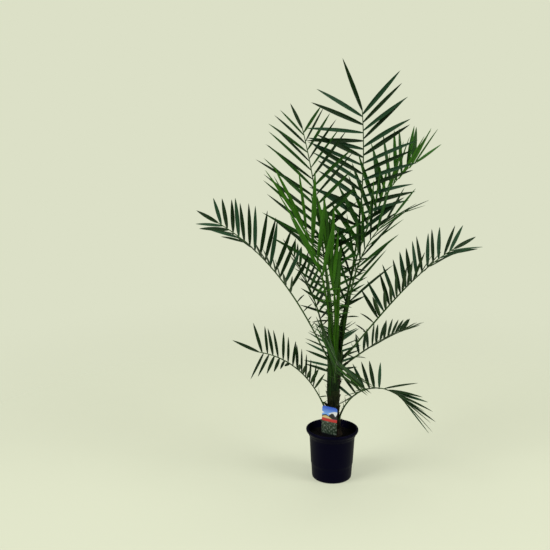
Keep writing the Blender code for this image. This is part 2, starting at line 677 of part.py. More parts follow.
def end_tree(rib):
    """The last leaflet as triangles, which the other fronds' leaflets keep clear of."""
    point, along, left, over = rib.at(1.0)
    belly, tip = end_blade(rib)
    foot = [point + left * a * RIB_TIP_HALF_WIDTH + over * b * RIB_TIP_HALF_DEPTH
            for a, b in ((1, 1), (1, -1), (-1, -1), (-1, 1))]
    return blade_tree(foot, belly, tip)


def free_of_leaflets(frond, place):
    """The middle of the bare stretch of rib that is nearest to a place."""
    spots = leaflet_places(frond)
    ends = [0.0] + [end for _, end, _ in spots]
    starts = [begin for begin, _, _ in spots] + [1.0]
    middles = [(a + b) / 2 for a, b in zip(ends, starts)][1:-1]
    return min(middles, key=lambda middle: abs(middle - place))


def main():
    clear_scene()
    materials = {
        "green": make_material("palm_green", GREEN, 0.45),
        "young": make_material("palm_young_green", YOUNG_GREEN, 0.45),
    }
    pot = make_pot(make_material("pot_black", POT_BLACK, 0.4))
    soil = make_soil(make_material("compost_brown", COMPOST_BROWN, 0.95))
    tag = make_tag_blade("care_tag", 0.0, make_material("tag_blue", TAG_BLUE, 0.5))
    trunk = make_trunk(make_material("trunk_fibre", TRUNK_BROWN, 0.9))
    solids = []
    for obj in (trunk, pot, soil, tag):
        verts = [vert.co.copy() for vert in obj.data.vertices]
        solids.append(tree_of(verts, [tuple(face.vertices) for face in obj.data.polygons]))
    make_fronds(solids, materials)


main()
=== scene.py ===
"""The looks of the potted pygmy date palm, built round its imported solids. Metres, +Z up.

The origin is the middle of the pot's flat underside. The plant is seen from -Y, with +X to the right. A
frond's heading is the way it grows out, in degrees from +X towards +Y. Ribs and leaflets follow the same
rule and sizes as the solids, with finer blades, spines, leaf bases and fibres.
"""

import math
import random
from dataclasses import dataclass

import bmesh
import bpy
import numpy as np
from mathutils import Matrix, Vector, noise
from mathutils.bvhtree import BVHTree


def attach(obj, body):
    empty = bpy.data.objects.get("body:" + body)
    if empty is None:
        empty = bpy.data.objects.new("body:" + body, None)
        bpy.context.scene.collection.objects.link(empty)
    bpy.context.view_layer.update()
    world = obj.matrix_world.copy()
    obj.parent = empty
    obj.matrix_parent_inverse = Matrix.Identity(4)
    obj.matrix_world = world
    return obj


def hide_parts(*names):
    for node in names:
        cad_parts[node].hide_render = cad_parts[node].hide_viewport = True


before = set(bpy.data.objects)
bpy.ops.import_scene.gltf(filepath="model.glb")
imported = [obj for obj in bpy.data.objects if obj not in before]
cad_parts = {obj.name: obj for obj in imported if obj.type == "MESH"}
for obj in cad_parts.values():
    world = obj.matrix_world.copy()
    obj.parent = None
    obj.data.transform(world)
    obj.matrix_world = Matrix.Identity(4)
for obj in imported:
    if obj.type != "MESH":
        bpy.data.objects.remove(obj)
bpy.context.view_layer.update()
BODY = "root"
GAP = 0.0003  # between neighbouring solids

# The camera stands where the photo's was. The picture is square, so one focal length serves both ways.
PHOTO_SIDE = 550
FOCAL_PIXELS = 907
SENSOR = 36.0
CAMERA_PLACE = (-0.084, -1.250, 0.585)
CAMERA_PITCH = 12.6
CAMERA_REACH = (0.05, 60)

BACKDROP = (0.716, 0.745, 0.571)
BACKDROP_GLOW = 0.25  # how strongly the backdrop lights the plant, where 1 is as bright as it looks
FLOOR_COLOR = (0.31, 0.322, 0.246)
FLOOR_GLOW = 1.16
FLOOR_FADE = (0.25, 1.1)
FLOOR_HALF_SIDE = 2
LIT_PLACE = (0.01, 0.0, 0.28)
# Each soft light's name, place, width, height and power.
SOFT_LIGHTS = (
    ("soft_left", (-1.5, -0.9, 1.5), 1.0, 1.4, 38),
    ("soft_right", (1.6, -0.8, 1.3), 1.0, 1.4, 34),
    ("soft_top", (0.1, 0.4, 2.2), 1.2, 1.2, 16),
)

# The pot: a thin round nursery pot with a rolled rim and a small ledge low on its wall.
POT_HEIGHT = 0.0760
POT_RIM_RADIUS = 0.0384
POT_NECK_RADIUS = 0.0329
POT_LEDGE_RADIUS = 0.0309
POT_FOOT_RADIUS = 0.0292
POT_NECK_HEIGHT = 0.0600
POT_LEDGE_HEIGHT = 0.0235
POT_LEDGE_DROP = 0.0035  # how far below the ledge the wall starts to widen
POT_LEDGE_DRAFT = 0.0009  # how much wider the wall is there than at its foot
POT_LEDGE_LIP, POT_LEDGE_LIP_HEIGHT = 0.0001, 0.0006
POT_RIM_WIDTH = 0.0034
# The rim's outer face from below, and then its inner one: in from the outer radius, and below the pot's top.
POT_RIM_STEPS = (
    (0.0051, 0.0118), (0.0039, 0.0100), (0.0030, 0.0070), (0.0007, 0.0045), (0, 0.0024), (0.0003, 0.0005),
    (0.0016, 0), (POT_RIM_WIDTH - 0.0006, 0), (POT_RIM_WIDTH, 0.0012), (0.0053, 0.0110))
POT_WALL = 0.0012
POT_FLOOR = 0.0022
POT_CORNER = 0.0040
POT_CORNER_INSET = 0.0030
# The rounded corner at the foot: in from the foot's radius, and up.
POT_CORNER_STEPS = ((0.0042, 0), (POT_CORNER_INSET, 0), (0.0014, 0.0005), (0.0004, 0.0016), (0, POT_CORNER))
# Where the inside of the wall changes its slope.
POT_WALL_HEIGHTS = (
    POT_CORNER + POT_FLOOR, POT_LEDGE_HEIGHT - POT_LEDGE_DROP, POT_LEDGE_HEIGHT, POT_NECK_HEIGHT)
POT_SIDES = 120
POT_CREASE = 32  # edges of the pot that turn further than this stay sharp
CORNER_CUT = 0.2  # the share of an edge that one rounding takes off at either end
DRAIN_HOLES = 8
DRAIN_RING = 0.0200
DRAIN_RADIUS = 0.0025
DRAIN_SIDES = 20
DRAIN_OVERSHOOT = 0.002

SOIL_TOP = 0.0660
SOIL_SIDES = 90
SOIL_RINGS = 26
SOIL_LUMP = 0.0011
SOIL_NOISE = ((130, 3.0, 1.0), (330, 7.0, 0.6))  # lumps: how fine, which slice of the noise, and their share
SOIL_FLAT_RADIUS, SOIL_FLAT_EASE = 0.012, 0.006  # flat round the trunk, and the passage from there
CRUMB_BED = (0.0155, 0.0205, 0.0260, 0.0312)  # radii between which the crumbs lie
CRUMB_BED_SIDES = 48
CRUMB_RADIUS = 0.0007
CRUMB_DENT, CRUMB_DENT_SCALE = 0.5, 2600
CRUMB_FLATNESS = 0.65
CRUMB_STREWING = {"Density": 420000.0, "Smallest": 0.35, "Largest": 1.3, "Lean": 0.9, "Seed": 4}

TAG_WIDTH = 0.0236
TAG_THICKNESS = 0.0008
CARD_THICKNESS = TAG_THICKNESS / 2
TAG_TOP = 0.1165
TAG_SHOULDER = 0.0742
TAG_PLACE = (-0.0066, -0.0200)
TAG_TILT = 2.0  # the lean of its head to the right
TAG_TURN = 28.0  # its right edge comes forward
TAG_CORNER = 0.0030
TAG_DEPTH = 0.0140
TAG_SHOWN_FOOT = SOIL_TOP - 0.0040  # the card ends a little below the top of the compost
TAG_POINT_HALF_WIDTH = 0.0022
TAG_CURL = 0.0011
TAG_COLUMNS, TAG_ROWS = 16, 36

TRUNK_FOOT = SOIL_TOP + GAP
TRUNK_TOP = 0.1960
TRUNK_RADIUS = 0.0086
TRUNK_FLARE = 0.0040
TRUNK_FLARE_HEIGHT = 0.0090
TRUNK_SWELL = 0.0012
TRUNK_FOOT_X = 0.0030
TRUNK_TOP_X = 0.0050
TRUNK_BOW = 0.0030
TRUNK_SIDES = 84
TRUNK_RINGS = 150
BARK_INSET = 0.0003
DOME_DROP, DOME_HEIGHT = 0.008, 0.009  # the bark draws in to a dome from this far below the trunk's top
SCARS_BELOW = 4  # scars of old leaves below the lowest stub
SCAR_HALF_TURN = 0.75
SCAR_RELIEF = 0.0013
SCAR_LIP = 0.8  # how far up a scar its lip is
BROAD_RIDGE, BROAD_RIDGE_SCALES = 0.0006, (7, 45)  # height, and how fine round the trunk and up it
FINE_RIDGE, FINE_RIDGE_SCALES = 0.0005, (22, 60)
BOOT_COUNT = 22
BOOT_TURN = 137.5
BOOT_FIRST, BOOT_LAST = 0.0800, 0.1860
BOOT_LENGTH = 0.0100
SCAR_LENGTH = 1.25 * BOOT_LENGTH
STUB_SINK = 0.0006
# Length, splay, breadth and bow of the stubs, and of the longer old one on the left.
STUB_SIZES = (0.95 * BOOT_LENGTH, 0.0005, BOOT_LENGTH, 0.0006)
OLD_STUB_TURN, OLD_STUB_FOOT = 208, 0.1060
OLD_STUB_SIZES = (0.0130, 0.004, 0.016, 0.001)
# A stub's sections: share of its length, half width, thickness and how far it stands out.
STUB_SECTIONS = (
    (0, 0.36, 0.08, 0), (0.4, 0.34, 0.20, 0.02), (0.8, 0.24, 0.22, 0.12), (1.0, 0.17, 0.17, 0.22))
STUB_SIDES = 8
STUB_HOLLOW = 0.06
CROWN_RING = 0.0064
CROWN_SHEATH_FOOT = 0.1180
CROWN_SHEATH_STAGGER, CROWN_SHEATH_SPREAD = 0.0002, 0.03  # height a degree of seat, wrapped round a range
SHEATH_DROP = 0.0140  # how far below its frond a sheath begins
SHEATH_REACH, CROWN_SHEATH_REACH = 0.0260, 0.0800
SHEATH_HALF_WIDTH, SHEATH_THICKNESS = 0.0066, 0.0010
SHEATH_CLEARANCE = 0.0002
SHEATH_RISE, SHEATH_LEAD = 0.45, 0.4  # how far it keeps its first and its last direction, in reaches
SHEATH_WRAP = 0.5
SHEATH_MATCH = 0.2  # where on its rib a sheath has drawn in to the rib's own size
SHEATH_FACES = (1, -0.8)  # the outer and the inner face's distance from its middle, in thicknesses
SHEATH_ROWS, SHEATH_COLUMNS = 18, 9
SEAT_STEP = 0.0001
RIGHT_SEATS = 0.3  # fronds whose seat's cosine is above this stand on the browner right side

# The fibres stand on small faces in rows round the trunk.
COAT_ROWS, COAT_COLUMNS = 26, 14
COAT_START, COAT_MARGINS = 0.004, 0.012
# The corners of one face: turn about the trunk, rise, and distance from its surface.
COAT_FACE = ((-0.2, 0, 0.0009), (0.2, 0, 0.0009), (0.2, 0.0006, -0.0004), (-0.2, 0.0006, -0.0004))
FIBRE_STREWING = {"Density": 60000.0, "Smallest": 0.004, "Largest": 0.011, "Lean": 0.45, "Seed": 9}
FIBRE_SECTIONS = ((-0.1, 0, 0.018), (0.35, 0.05, 0.016), (0.7, 0.16, 0.011))  # height, bow and radius
FIBRE_TIP_BOW = 0.30
LEAN_SEED, TILT_SEED, SIZE_SEED = 5, 6, 7  # of what is strewn

SPEAR_FOOT = TRUNK_TOP - 0.010
SPEAR_LENGTH = 0.175
SPEAR_RADIUS, SPEAR_TIP_RADIUS = 0.0030, 0.0002
SPEAR_FOOT_SHARE, SPEAR_SWELL, SPEAR_TAPER = 0.75, 1.2, 2.4
SPEAR_PLEAT = 0.14
SPEAR_PLACE, SPEAR_LEAN = (-0.001, -0.0005), (0.006, -0.004)  # from the trunk's top, and towards its tip
SPEAR_SIDES, SPEAR_RINGS = 24, 26

CURVE_STEPS = 60
PETIOLE_HALF_WIDTH, PETIOLE_HALF_DEPTH = 0.0021, 0.0015
RIB_TIP_HALF_WIDTH, RIB_TIP_HALF_DEPTH = 0.0006, 0.0005
RIB_TAPER = 0.8
RIB_PROFILE = {"Sides": 12, "Flatness": 0.72, "Channel": 0.45}
FOOT_SHARE, FOOT_RINGS = 0.25, 8  # the part of a rib that has to clear the trunk, tested at these rings
LEAFLET_FOOT = 0.0034
LEAFLET_CROWDING = 0.92
LEAFLET_DROOP = 0.03
LEAFLET_ROOT, SPINE_ROOT = 0.6, 0.7  # how far out on the rib it starts, in half widths
UPRIGHT_SAG = 0.3  # how much an upright leaflet sags, where a level one's sag is 1
LAST_SHARE = 0.9  # the last leaflet's length as a share of its neighbours'
LAST_SINK = 0.002
PAIR_SHIFT = 0.28  # how far the right row's leaflets stand along from the left row's, in spacings
ANGLE_SCATTER = 6.0
LENGTH_SCATTER = 0.06
VEE_SCATTER = 6
BREADTH_SCATTER = (0.86, 1.14)
TWIST_SCATTER = 16
FORWARD_BOW = (-0.01, 0.05)
LEAFLET_SEED, SPINE_SEED, FINE_SEED = 11, 211, 500

SPINE_SPACING = 0.0105
SPINES_FROM, SPINES_SPAN = 0.24, 0.74  # where on the bare stretch they stand
SPINE_LENGTH, SPINE_WIDTH = 0.0080, 0.0012
SPINY_SHARE = 0.4  # how much of the bare stretch has spines alone
LOW_LEAFLET_LENGTH, LOW_LEAFLET_WIDTH = 0.0300, 0.0026
LOW_LEAFLET_SAG = 0.22
LOW_LEAFLET_EASE = 1.4
LOW_LEAFLET_LIFT = 0.6  # how far the low ones are raised, as a share of the first leaflets' raise
SPINE_ANGLE, SPINE_ANGLE_SCATTER = 76, 16
SPINE_PLACE_SCATTER, SPINE_LIFT_SCATTER, SPINE_LENGTH_SCATTER = 0.012, 14, (0.7, 1.15)
SPINE_SECTIONS = ((0, 0.5), (0.35, 0.42), (0.75, 0.2))  # share of its length, and radius
SPINE_FLATNESS = 0.6

# Share along a leaflet, and its width there as a share of the widest.
BLADE_OUTLINE = ((0.0, 0.30), (0.05, 0.52), (0.16, 0.80), (0.32, 0.98), (0.48, 1.0), (0.66, 0.84),
                 (0.82, 0.56), (0.94, 0.24))
BLADE_EDGE_RISE = 0.02
BLADE_THICKNESS = 0.09
BLADE_THINNING, KEEL_FADE = 0.6, 0.5  # how much thinner and flatter a blade is at its tip
OPEN_FOLD, SHUT_FOLD = 0.20, 0.45
BLADE_CREASE = 38
LEAF_VEINS = 70.0


@dataclass
class Frond:
    """Angles in degrees, lengths in metres. Seat and height are its place round the trunk and up it."""

    name: str
    seat: float
    height: float
    heading: float
    rise: float  # the rib's climb at the trunk, 90 is upright
    fall: float  # its climb at the tip
    bend: float  # above 1 the bend lies near the tip
    length: float
    bare: float  # the share of the rib below the first leaflet
    leaflets: tuple  # their length at the foot, middle and tip of the leafy part
    spread: tuple  # their angle from the rib, from the foot of the leafy part to its tip
    pairs: int
    width: float
    tones: tuple  # the leaflets' colours, dealt out in turn
    roll: tuple = (0.0,)  # the blade's turn about its rib, from the foot of the leafy part to its tip
    vee: tuple = (20.0,)  # how far both rows are raised off the blade, likewise
    swing: float = 0.0
    skew: tuple = (0.0,)  # added to the left row's angle and taken from the right row's, likewise
    last_turn: float = 0.0  # how far the last leaflet leans to the left of the rib
    girth: float = 1.0  # how much broader the rib is than most
    sag: tuple = (0.02, 0.08)  # how far a leaflet bows down, as a share of its length
    young: bool = False


FRONDS = (
    Frond("frond_top", 85, TRUNK_TOP, 49, 71, 98, 1.5, 0.345, 0.42, (0.074, 0.086, 0.084),
          (62, 66, 67, 60, 66, 46), 16, 0.0060, ("deep", "teal"), roll=(40,), vee=(25,), swing=-5,
          skew=(26, 2, -5, 0, 14, 9), last_turn=17, sag=(0.02, 0.10)),
    Frond("frond_upper_left", 140, TRUNK_TOP, 124, 80, 66, 2.1, 0.322, 0.34, (0.090, 0.099, 0.045), (66, 44),
          15, 0.0050, ("green", "deep"), roll=(-60, -46), vee=(32,), skew=(-13, -10), last_turn=12),
    Frond("frond_upper_right", -14, TRUNK_TOP, -12, 83, 26, 2.8, 0.226, 0.26, (0.086, 0.080, 0.045),
          (36, 30, 28, 28, 22), 10, 0.0036, ("deep", "green"), roll=(90, 60, 20), vee=(18,)),
    Frond("frond_right_behind", 38, TRUNK_TOP, 41, 84, 22, 1.45, 0.320, 0.40, (0.078, 0.084, 0.066), (60, 36),
          13, 0.0066, ("green", "bright"), vee=(62,)),
    Frond("frond_young_left", 200, TRUNK_TOP, 196, 84, 62, 1.6, 0.200, 0.50, (0.088, 0.108, 0.092), (22, 17),
          4, 0.0066, ("bright",), roll=(30,), vee=(12,), girth=1.2, young=True),
    Frond("frond_young_front", 262, TRUNK_TOP, 216, 88, 74, 1.6, 0.165, 0.45, (0.072, 0.084, 0.074), (12, 8),
          5, 0.0070, ("green", "bright"), roll=(15,), vee=(25,), girth=1.2, young=True),
    Frond("frond_left", 190, 0.182, 186, 64, 31, 1.76, 0.260, 0.42, (0.060, 0.062, 0.036), (58, 52, 38), 14,
          0.0056, ("deep", "teal", "deep"), roll=(-36, -36, -66), vee=(52, 50, 10), skew=(0, 0, -8)),
    Frond("frond_right", 0, 0.184, 6, 50, 21, 2.4, 0.230, 0.30, (0.050, 0.053, 0.044),
          (78, 62, 60, 58, 52, 28), 14, 0.0058, ("deep", "teal"), roll=(12, 12, 48), vee=(68, 66, 22),
          swing=20),
    Frond("frond_low_left", 215, 0.098, 202, 70, 14, 1.25, 0.160, 0.28, (0.034, 0.037, 0.046), (52, 66), 12,
          0.0046, ("deep",), roll=(-6, -40, -70), vee=(58, 38, 6), last_turn=-16),
    Frond("frond_low_right", -52, 0.092, -24, 73, -50, 1.4, 0.130, 0.30, (0.042, 0.046, 0.062),
          (96, 98, 100, 102, 104, 104, 104, 24, 18, 15, 13, 12), 12, 0.0050, ("teal", "deep", "deep"),
          roll=(30, 30, 0, 0), vee=(42, 42, 20, 20), swing=5),
    Frond("frond_front", 275, 0.150, 268, 58, 10, 1.2, 0.100, 0.24, (0.060, 0.070, 0.050), (80, 44), 9,
          0.0072, ("deep", "teal", "green"), roll=(-54,), vee=(12,)),
    Frond("frond_right_back", 40, 0.165, 32, 26, 4, 1.3, 0.135, 0.26, (0.040, 0.040, 0.034), (50, 28), 12,
          0.0044, ("deep",), vee=(35,), swing=5),
    Frond("frond_left_back", 150, 0.186, 149, 76, 52, 1.5, 0.158, 0.30, (0.040, 0.040, 0.028), (62, 36), 12,
          0.0042, ("deep", "green"), vee=(25,)),
    Frond("frond_back", 95, 0.180, 98, 72, 18, 1.5, 0.205, 0.28, (0.050, 0.066, 0.040), (74, 38), 13, 0.0048,
          ("deep", "green"), vee=(25,)),
    Frond("frond_low_back", 105, 0.110, 84, 66, -8, 1.3, 0.150, 0.28, (0.040, 0.046, 0.038), (84, 44), 12,
          0.0044, ("deep", "teal")),
)

# Solids that are made in two lengths.
SPLIT_FRONDS = ("frond_right_behind", "frond_low_right", "frond_low_back")

# Upper side and underside of each leaf colour.
LEAF_TONES = {
    "deep": ((0.006, 0.024, 0.003), (0.015, 0.044, 0.006)),
    "teal": ((0.015, 0.054, 0.020), (0.016, 0.050, 0.010)),
    "green": ((0.014, 0.062, 0.005), (0.026, 0.088, 0.008)),
    "bright": ((0.020, 0.100, 0.003), (0.034, 0.128, 0.005)),
}
# The other finishes, each with its darker colour, or a sheath's at its foot, first.
RIB_GREENS = ((0.014, 0.050, 0.006), (0.045, 0.095, 0.018))
YOUNG_RIB_GREENS = ((0.020, 0.090, 0.003), (0.045, 0.130, 0.006))
SHEATH_SKINS = {
    "green": ((0.006, 0.020, 0.003), (0.020, 0.058, 0.006)),
    "brown": ((0.006, 0.004, 0.002), (0.018, 0.050, 0.006)),
    "shoot": ((0.006, 0.022, 0.002), (0.026, 0.092, 0.003)),
}
SHEATH_CLIMB, BARK_CLIMB = (0.165, 0.225), (0.120, 0.190)  # heights between which they turn green
BARK_PLAIN, FIBRE_PLAIN = (0.02, 0.014, 0.009), (0.030, 0.018, 0.010)
BARK_BROWNS = ((0.002, 0.0015, 0.001), (0.034, 0.022, 0.011))
BARK_GREENS = ((0.004, 0.013, 0.002), (0.018, 0.046, 0.006))
FIBRE_BROWNS = ((0.010, 0.007, 0.004), (0.085, 0.055, 0.030))
POT_BLACK, POT_SCUFF = (0.0010, 0.0008, 0.0066), (0.0030, 0.0026, 0.0110)
POT_SHEEN = (0.62, 0.60, 1.0)
COMPOST_BROWNS = ((0.0005, 0.0003, 0.0004), (0.0045, 0.0030, 0.0032))
CRUMB_BROWNS = ((0.0008, 0.0005, 0.0006), (0.0070, 0.0045, 0.0045))

# The card's colours, and its layout in shares of its height.
CARD_PLAIN = (0.07, 0.17, 0.66)
CARD_LOW_SKY, CARD_HIGH_SKY, CARD_CLOUD = (0.20, 0.42, 0.92), (0.040, 0.125, 0.66), (0.80, 0.82, 0.86)
CARD_RIDGE, CARD_SAND, CARD_RED = (0.020, 0.017, 0.020), (0.70, 0.50, 0.22), (0.55, 0.030, 0.026)
# The near-black stake colour is painted shade: it covers the card from its foot up to the stake's top, down
# in the pot under the rim.
CARD_GREEN, CARD_FLECK, CARD_STAKE_SHADE = (0.008, 0.022, 0.008), (0.15, 0.19, 0.15), (0.004, 0.004, 0.006)
STAKE_SHADE_TOP, RED_FOOT, RED_TOP, SAND_TOP = 0.235, 0.585, 0.665, 0.690
RIDGE_FOOT, RIDGE_TOP, RIDGE_PEAKS, RIDGE_SLOPE = 0.66, 0.74, 7.0, 0.13
CLOUD_FOOT, CLOUD_TOP, CLOUD_TOP_WAVE = 0.775, 0.845, -0.8
CARD_WAVES, CARD_WAVE = 5.2, 0.05
SKY_TURN, SKY_FADE, CARD_EDGE = 0.88, 0.08, 0.01


def add_mesh(name, verts, faces, material=None, smooth=None, edges=()):
    """A mesh object at the origin. Smooth is the angle in degrees above which an edge stays sharp."""
    mesh = bpy.data.meshes.new(name)
    mesh.from_pydata([tuple(v) for v in verts], list(edges), faces)
    mesh.update()
    if material:
        mesh.materials.append(material)
    obj = bpy.data.objects.new(name, mesh)
    bpy.context.scene.collection.objects.link(obj)
    if smooth is not None:
        shade_smooth(mesh, smooth)
    return obj


def shade_smooth(mesh, crease):
    mesh.shade_smooth()
    mesh.set_sharp_from_angle(angle=math.radians(crease))


def remove(*objects):
    for obj in objects:
        bpy.data.objects.remove(obj, do_unlink=True)


def add_attribute(mesh, name, kind, values):
    attribute = mesh.attributes.new(name, kind, "POINT")
    flat = np.asarray(values, np.float32).ravel()
    attribute.data.foreach_set("vector" if kind == "FLOAT_VECTOR" else "value", flat)


def face_outwards(obj):
    """Drops loose points and turns every face outwards."""
    shape = bmesh.new()
    shape.from_mesh(obj.data)
    loose = [vert for vert in shape.verts if not vert.link_faces]
    bmesh.ops.delete(shape, geom=loose, context="VERTS")
    bmesh.ops.recalc_face_normals(shape, faces=shape.faces)
    shape.to_mesh(obj.data)
    shape.free()


def final_mesh(obj):
    """Turns what the modifiers make into the object's own plain mesh."""
    graph = bpy.context.evaluated_depsgraph_get()
    mesh = bpy.data.meshes.new_from_object(obj.evaluated_get(graph))
    obj.modifiers.clear()
    obj.data = mesh
    mesh.name = obj.name
    return obj


def grow(obj, tree, inputs):
    """Runs a node tree on an object, with its named inputs, and keeps the result as the object's mesh."""
    modifier = obj.modifiers.new(tree.name, "NODES")
    modifier.node_group = tree
    for item in tree.interface.items_tree:
        if item.name in inputs:
            modifier[item.identifier] = inputs[item.name]
    return final_mesh(obj)


def joined(name, objects):
    """One object from several, which are removed."""
    with bpy.context.temp_override(active_object=objects[0], selected_editable_objects=objects):
        bpy.ops.object.join()
    objects[0].name = name
    objects[0].data.name = name
    return objects[0]


def dress(piece, slot, *nodes):
    """The piece rides on the only body and stands for the nodes, whose solids it hides. The slot is not used.
    """
    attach(piece, BODY)
    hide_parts(*nodes)


class Nodes:
    """Adds nodes to a tree and links them. An input is a value, or the socket that feeds it."""

    def __init__(self, tree):
        self.tree = tree

    def add(self, kind, settings=None, **inputs):
        node = self.tree.nodes.new(kind)
        for key, value in (settings or {}).items():
            setattr(node, key, value)
        return self.feed(node, **inputs)

    def feed(self, node, **inputs):
        """Sets a node's inputs. One without a name of its own is called by its number, as in _0."""
        for key, value in inputs.items():
            socket = node.inputs[int(key[1:]) if key[0] == "_" else key.replace("_", " ")]
            if isinstance(value, bpy.types.NodeSocket):
                self.tree.links.new(value, socket)
            elif socket.type == "RGBA":
                socket.default_value = (*value, 1)
            else:
                socket.default_value = value
        return node

    def out(self, kind, settings=None, **inputs):
        """Adds a node and gives the first of its outputs that isn't switched off."""
        return next(socket for socket in self.add(kind, settings, **inputs).outputs if socket.enabled)

    def named(self, name, kind="FLOAT"):
        """An attribute of the mesh that the tree grows on."""
        return self.out("GeometryNodeInputNamedAttribute", {"data_type": kind}, Name=name)

    def math(self, operation, a, b=0.0):
        return self.out("ShaderNodeMath", {"operation": operation}, _0=a, _1=b)

    def plus(self, a, b):
        return self.math("ADD", a, b)

    def times(self, a, b):
        return self.math("MULTIPLY", a, b)

    def scaled(self, vector, factor):
        return self.out("ShaderNodeVectorMath", {"operation": "SCALE"}, _0=vector, _3=factor)

    def part(self, vector, axis):
        return self.add("ShaderNodeSeparateXYZ", Vector=vector).outputs[axis]

    def spread(self, value, low=0.0, high=1.0, to=(0.0, 1.0)):
        """The value's range from low to high spread over another range."""
        return self.out("ShaderNodeMapRange", Value=value, From_Min=low, From_Max=high, To_Min=to[0],
                        To_Max=to[1])

    def mix(self, share, first, second):
        return self.out("ShaderNodeMix", {"data_type": "RGBA"}, Factor=share, A=first, B=second)

    def ramp(self, value, places, colors):
        node = self.add("ShaderNodeValToRGB", Fac=value)
        for stop, place, color in zip(node.color_ramp.elements, places, colors):
            stop.position = place
            stop.color = (*color, 1)
        return node.outputs[0]

    def place(self):
        """Where a point lies on the object."""
        return self.add("ShaderNodeTexCoord").outputs["Object"]

    def grain(self, scale, detail=3.0, stretch=(1, 1, 1)):
        """Noise over the object, stretched along an axis where its factor is small."""
        mapped = self.out("ShaderNodeMapping", Vector=self.place(), Scale=stretch)
        return self.add("ShaderNodeTexNoise", Vector=mapped, Scale=scale, Detail=detail).outputs["Fac"]

    def bump(self, shader, height, strength, distance):
        bump = self.out("ShaderNodeBump", Height=height, Strength=strength, Distance=distance)
        self.feed(shader, Normal=bump)


def growing_tree(name, sockets):
    """A Geometry Nodes tree with these inputs besides its geometry. Comes with its node adder and inputs."""
    tree = bpy.data.node_groups.new(name, "GeometryNodeTree")
    tree.is_modifier = True
    tree.interface.new_socket("Geometry", in_out="INPUT", socket_type="NodeSocketGeometry")
    for label, kind in sockets:
        tree.interface.new_socket(label, in_out="INPUT", socket_type=f"NodeSocket{kind}")
    tree.interface.new_socket("Geometry", in_out="OUTPUT", socket_type="NodeSocketGeometry")
    nodes = Nodes(tree)
    return tree, nodes, nodes.add("NodeGroupInput").outputs


def blade_tree():
    """A pattern on every point, turned to its aim and face, stretched to its reach and breadth, and bowed."""
    tree, nodes, given = growing_tree(
        "blades", (("Pattern", "Object"), ("Upper Side", "Material"), ("Underside", "Material")))
    pattern = nodes.add("GeometryNodeObjectInfo", Object=given["Pattern"]).outputs["Geometry"]
    turn = nodes.out("FunctionNodeAxesToRotation", {"primary_axis": "Y", "secondary_axis": "Z"},
                     Primary_Axis=nodes.named("aim", "FLOAT_VECTOR"),
                     Secondary_Axis=nodes.named("face", "FLOAT_VECTOR"))
    breadth = nodes.named("breadth")
    size = nodes.out("ShaderNodeCombineXYZ", X=breadth, Y=nodes.named("reach"), Z=breadth)
    blades = nodes.out("GeometryNodeInstanceOnPoints", Points=given["Geometry"], Instance=pattern,
                       Rotation=turn, Scale=size)
    real = nodes.out("GeometryNodeRealizeInstances", Geometry=blades)
    share = nodes.named("share")
    bow = nodes.scaled(nodes.named("bow", "FLOAT_VECTOR"), nodes.times(share, share))
    bowed = nodes.out("GeometryNodeSetPosition", Geometry=real, Offset=bow)
    topped = nodes.out("GeometryNodeSetMaterial", Geometry=bowed, Material=given["Upper Side"])
    under = nodes.out("GeometryNodeSetMaterial", Geometry=topped, Material=given["Underside"],
                      Selection=nodes.named("underside", "BOOLEAN"))
    nodes.add("NodeGroupOutput", Geometry=under)
    return tree


def rib_tree():
    """A channelled stem along every line, its upper side turned to the line's own normal."""
    tree, nodes, given = growing_tree(
        "ribs", (("Sides", "Int"), ("Flatness", "Float"), ("Channel", "Float"), ("Skin", "Material")))
    line = nodes.out("GeometryNodeMeshToCurve", Mesh=given["Geometry"])
    upright = nodes.out("GeometryNodeSetCurveNormal", {"mode": "FREE"}, Curve=line,
                        Normal=nodes.named("side", "FLOAT_VECTOR"))
    ring = nodes.out("GeometryNodeCurvePrimitiveCircle", Resolution=given["Sides"], Radius=1.0)
    split = nodes.add("ShaderNodeSeparateXYZ", Vector=nodes.out("GeometryNodeInputPosition")).outputs
    upper = nodes.math("POWER", nodes.math("MAXIMUM", split["Y"], 0.0), 3.0)
    flat = nodes.times(split["Y"], given["Flatness"])
    low = nodes.math("SUBTRACT", flat, nodes.times(upper, given["Channel"]))
    shaped = nodes.out("ShaderNodeCombineXYZ", X=split["X"], Y=low, Z=0.0)
    profile = nodes.out("GeometryNodeSetPosition", Geometry=ring, Position=shaped)
    stem = nodes.out("GeometryNodeCurveToMesh", Curve=upright, Profile_Curve=profile,
                     Scale=nodes.named("girth"), Fill_Caps=True)
    real = nodes.out("GeometryNodeRealizeInstances", Geometry=stem)
    smooth = nodes.out("GeometryNodeSetShadeSmooth", Geometry=real)
    skinned = nodes.out("GeometryNodeSetMaterial", Geometry=smooth, Material=given["Skin"])
    nodes.add("NodeGroupOutput", Geometry=skinned)
    return tree


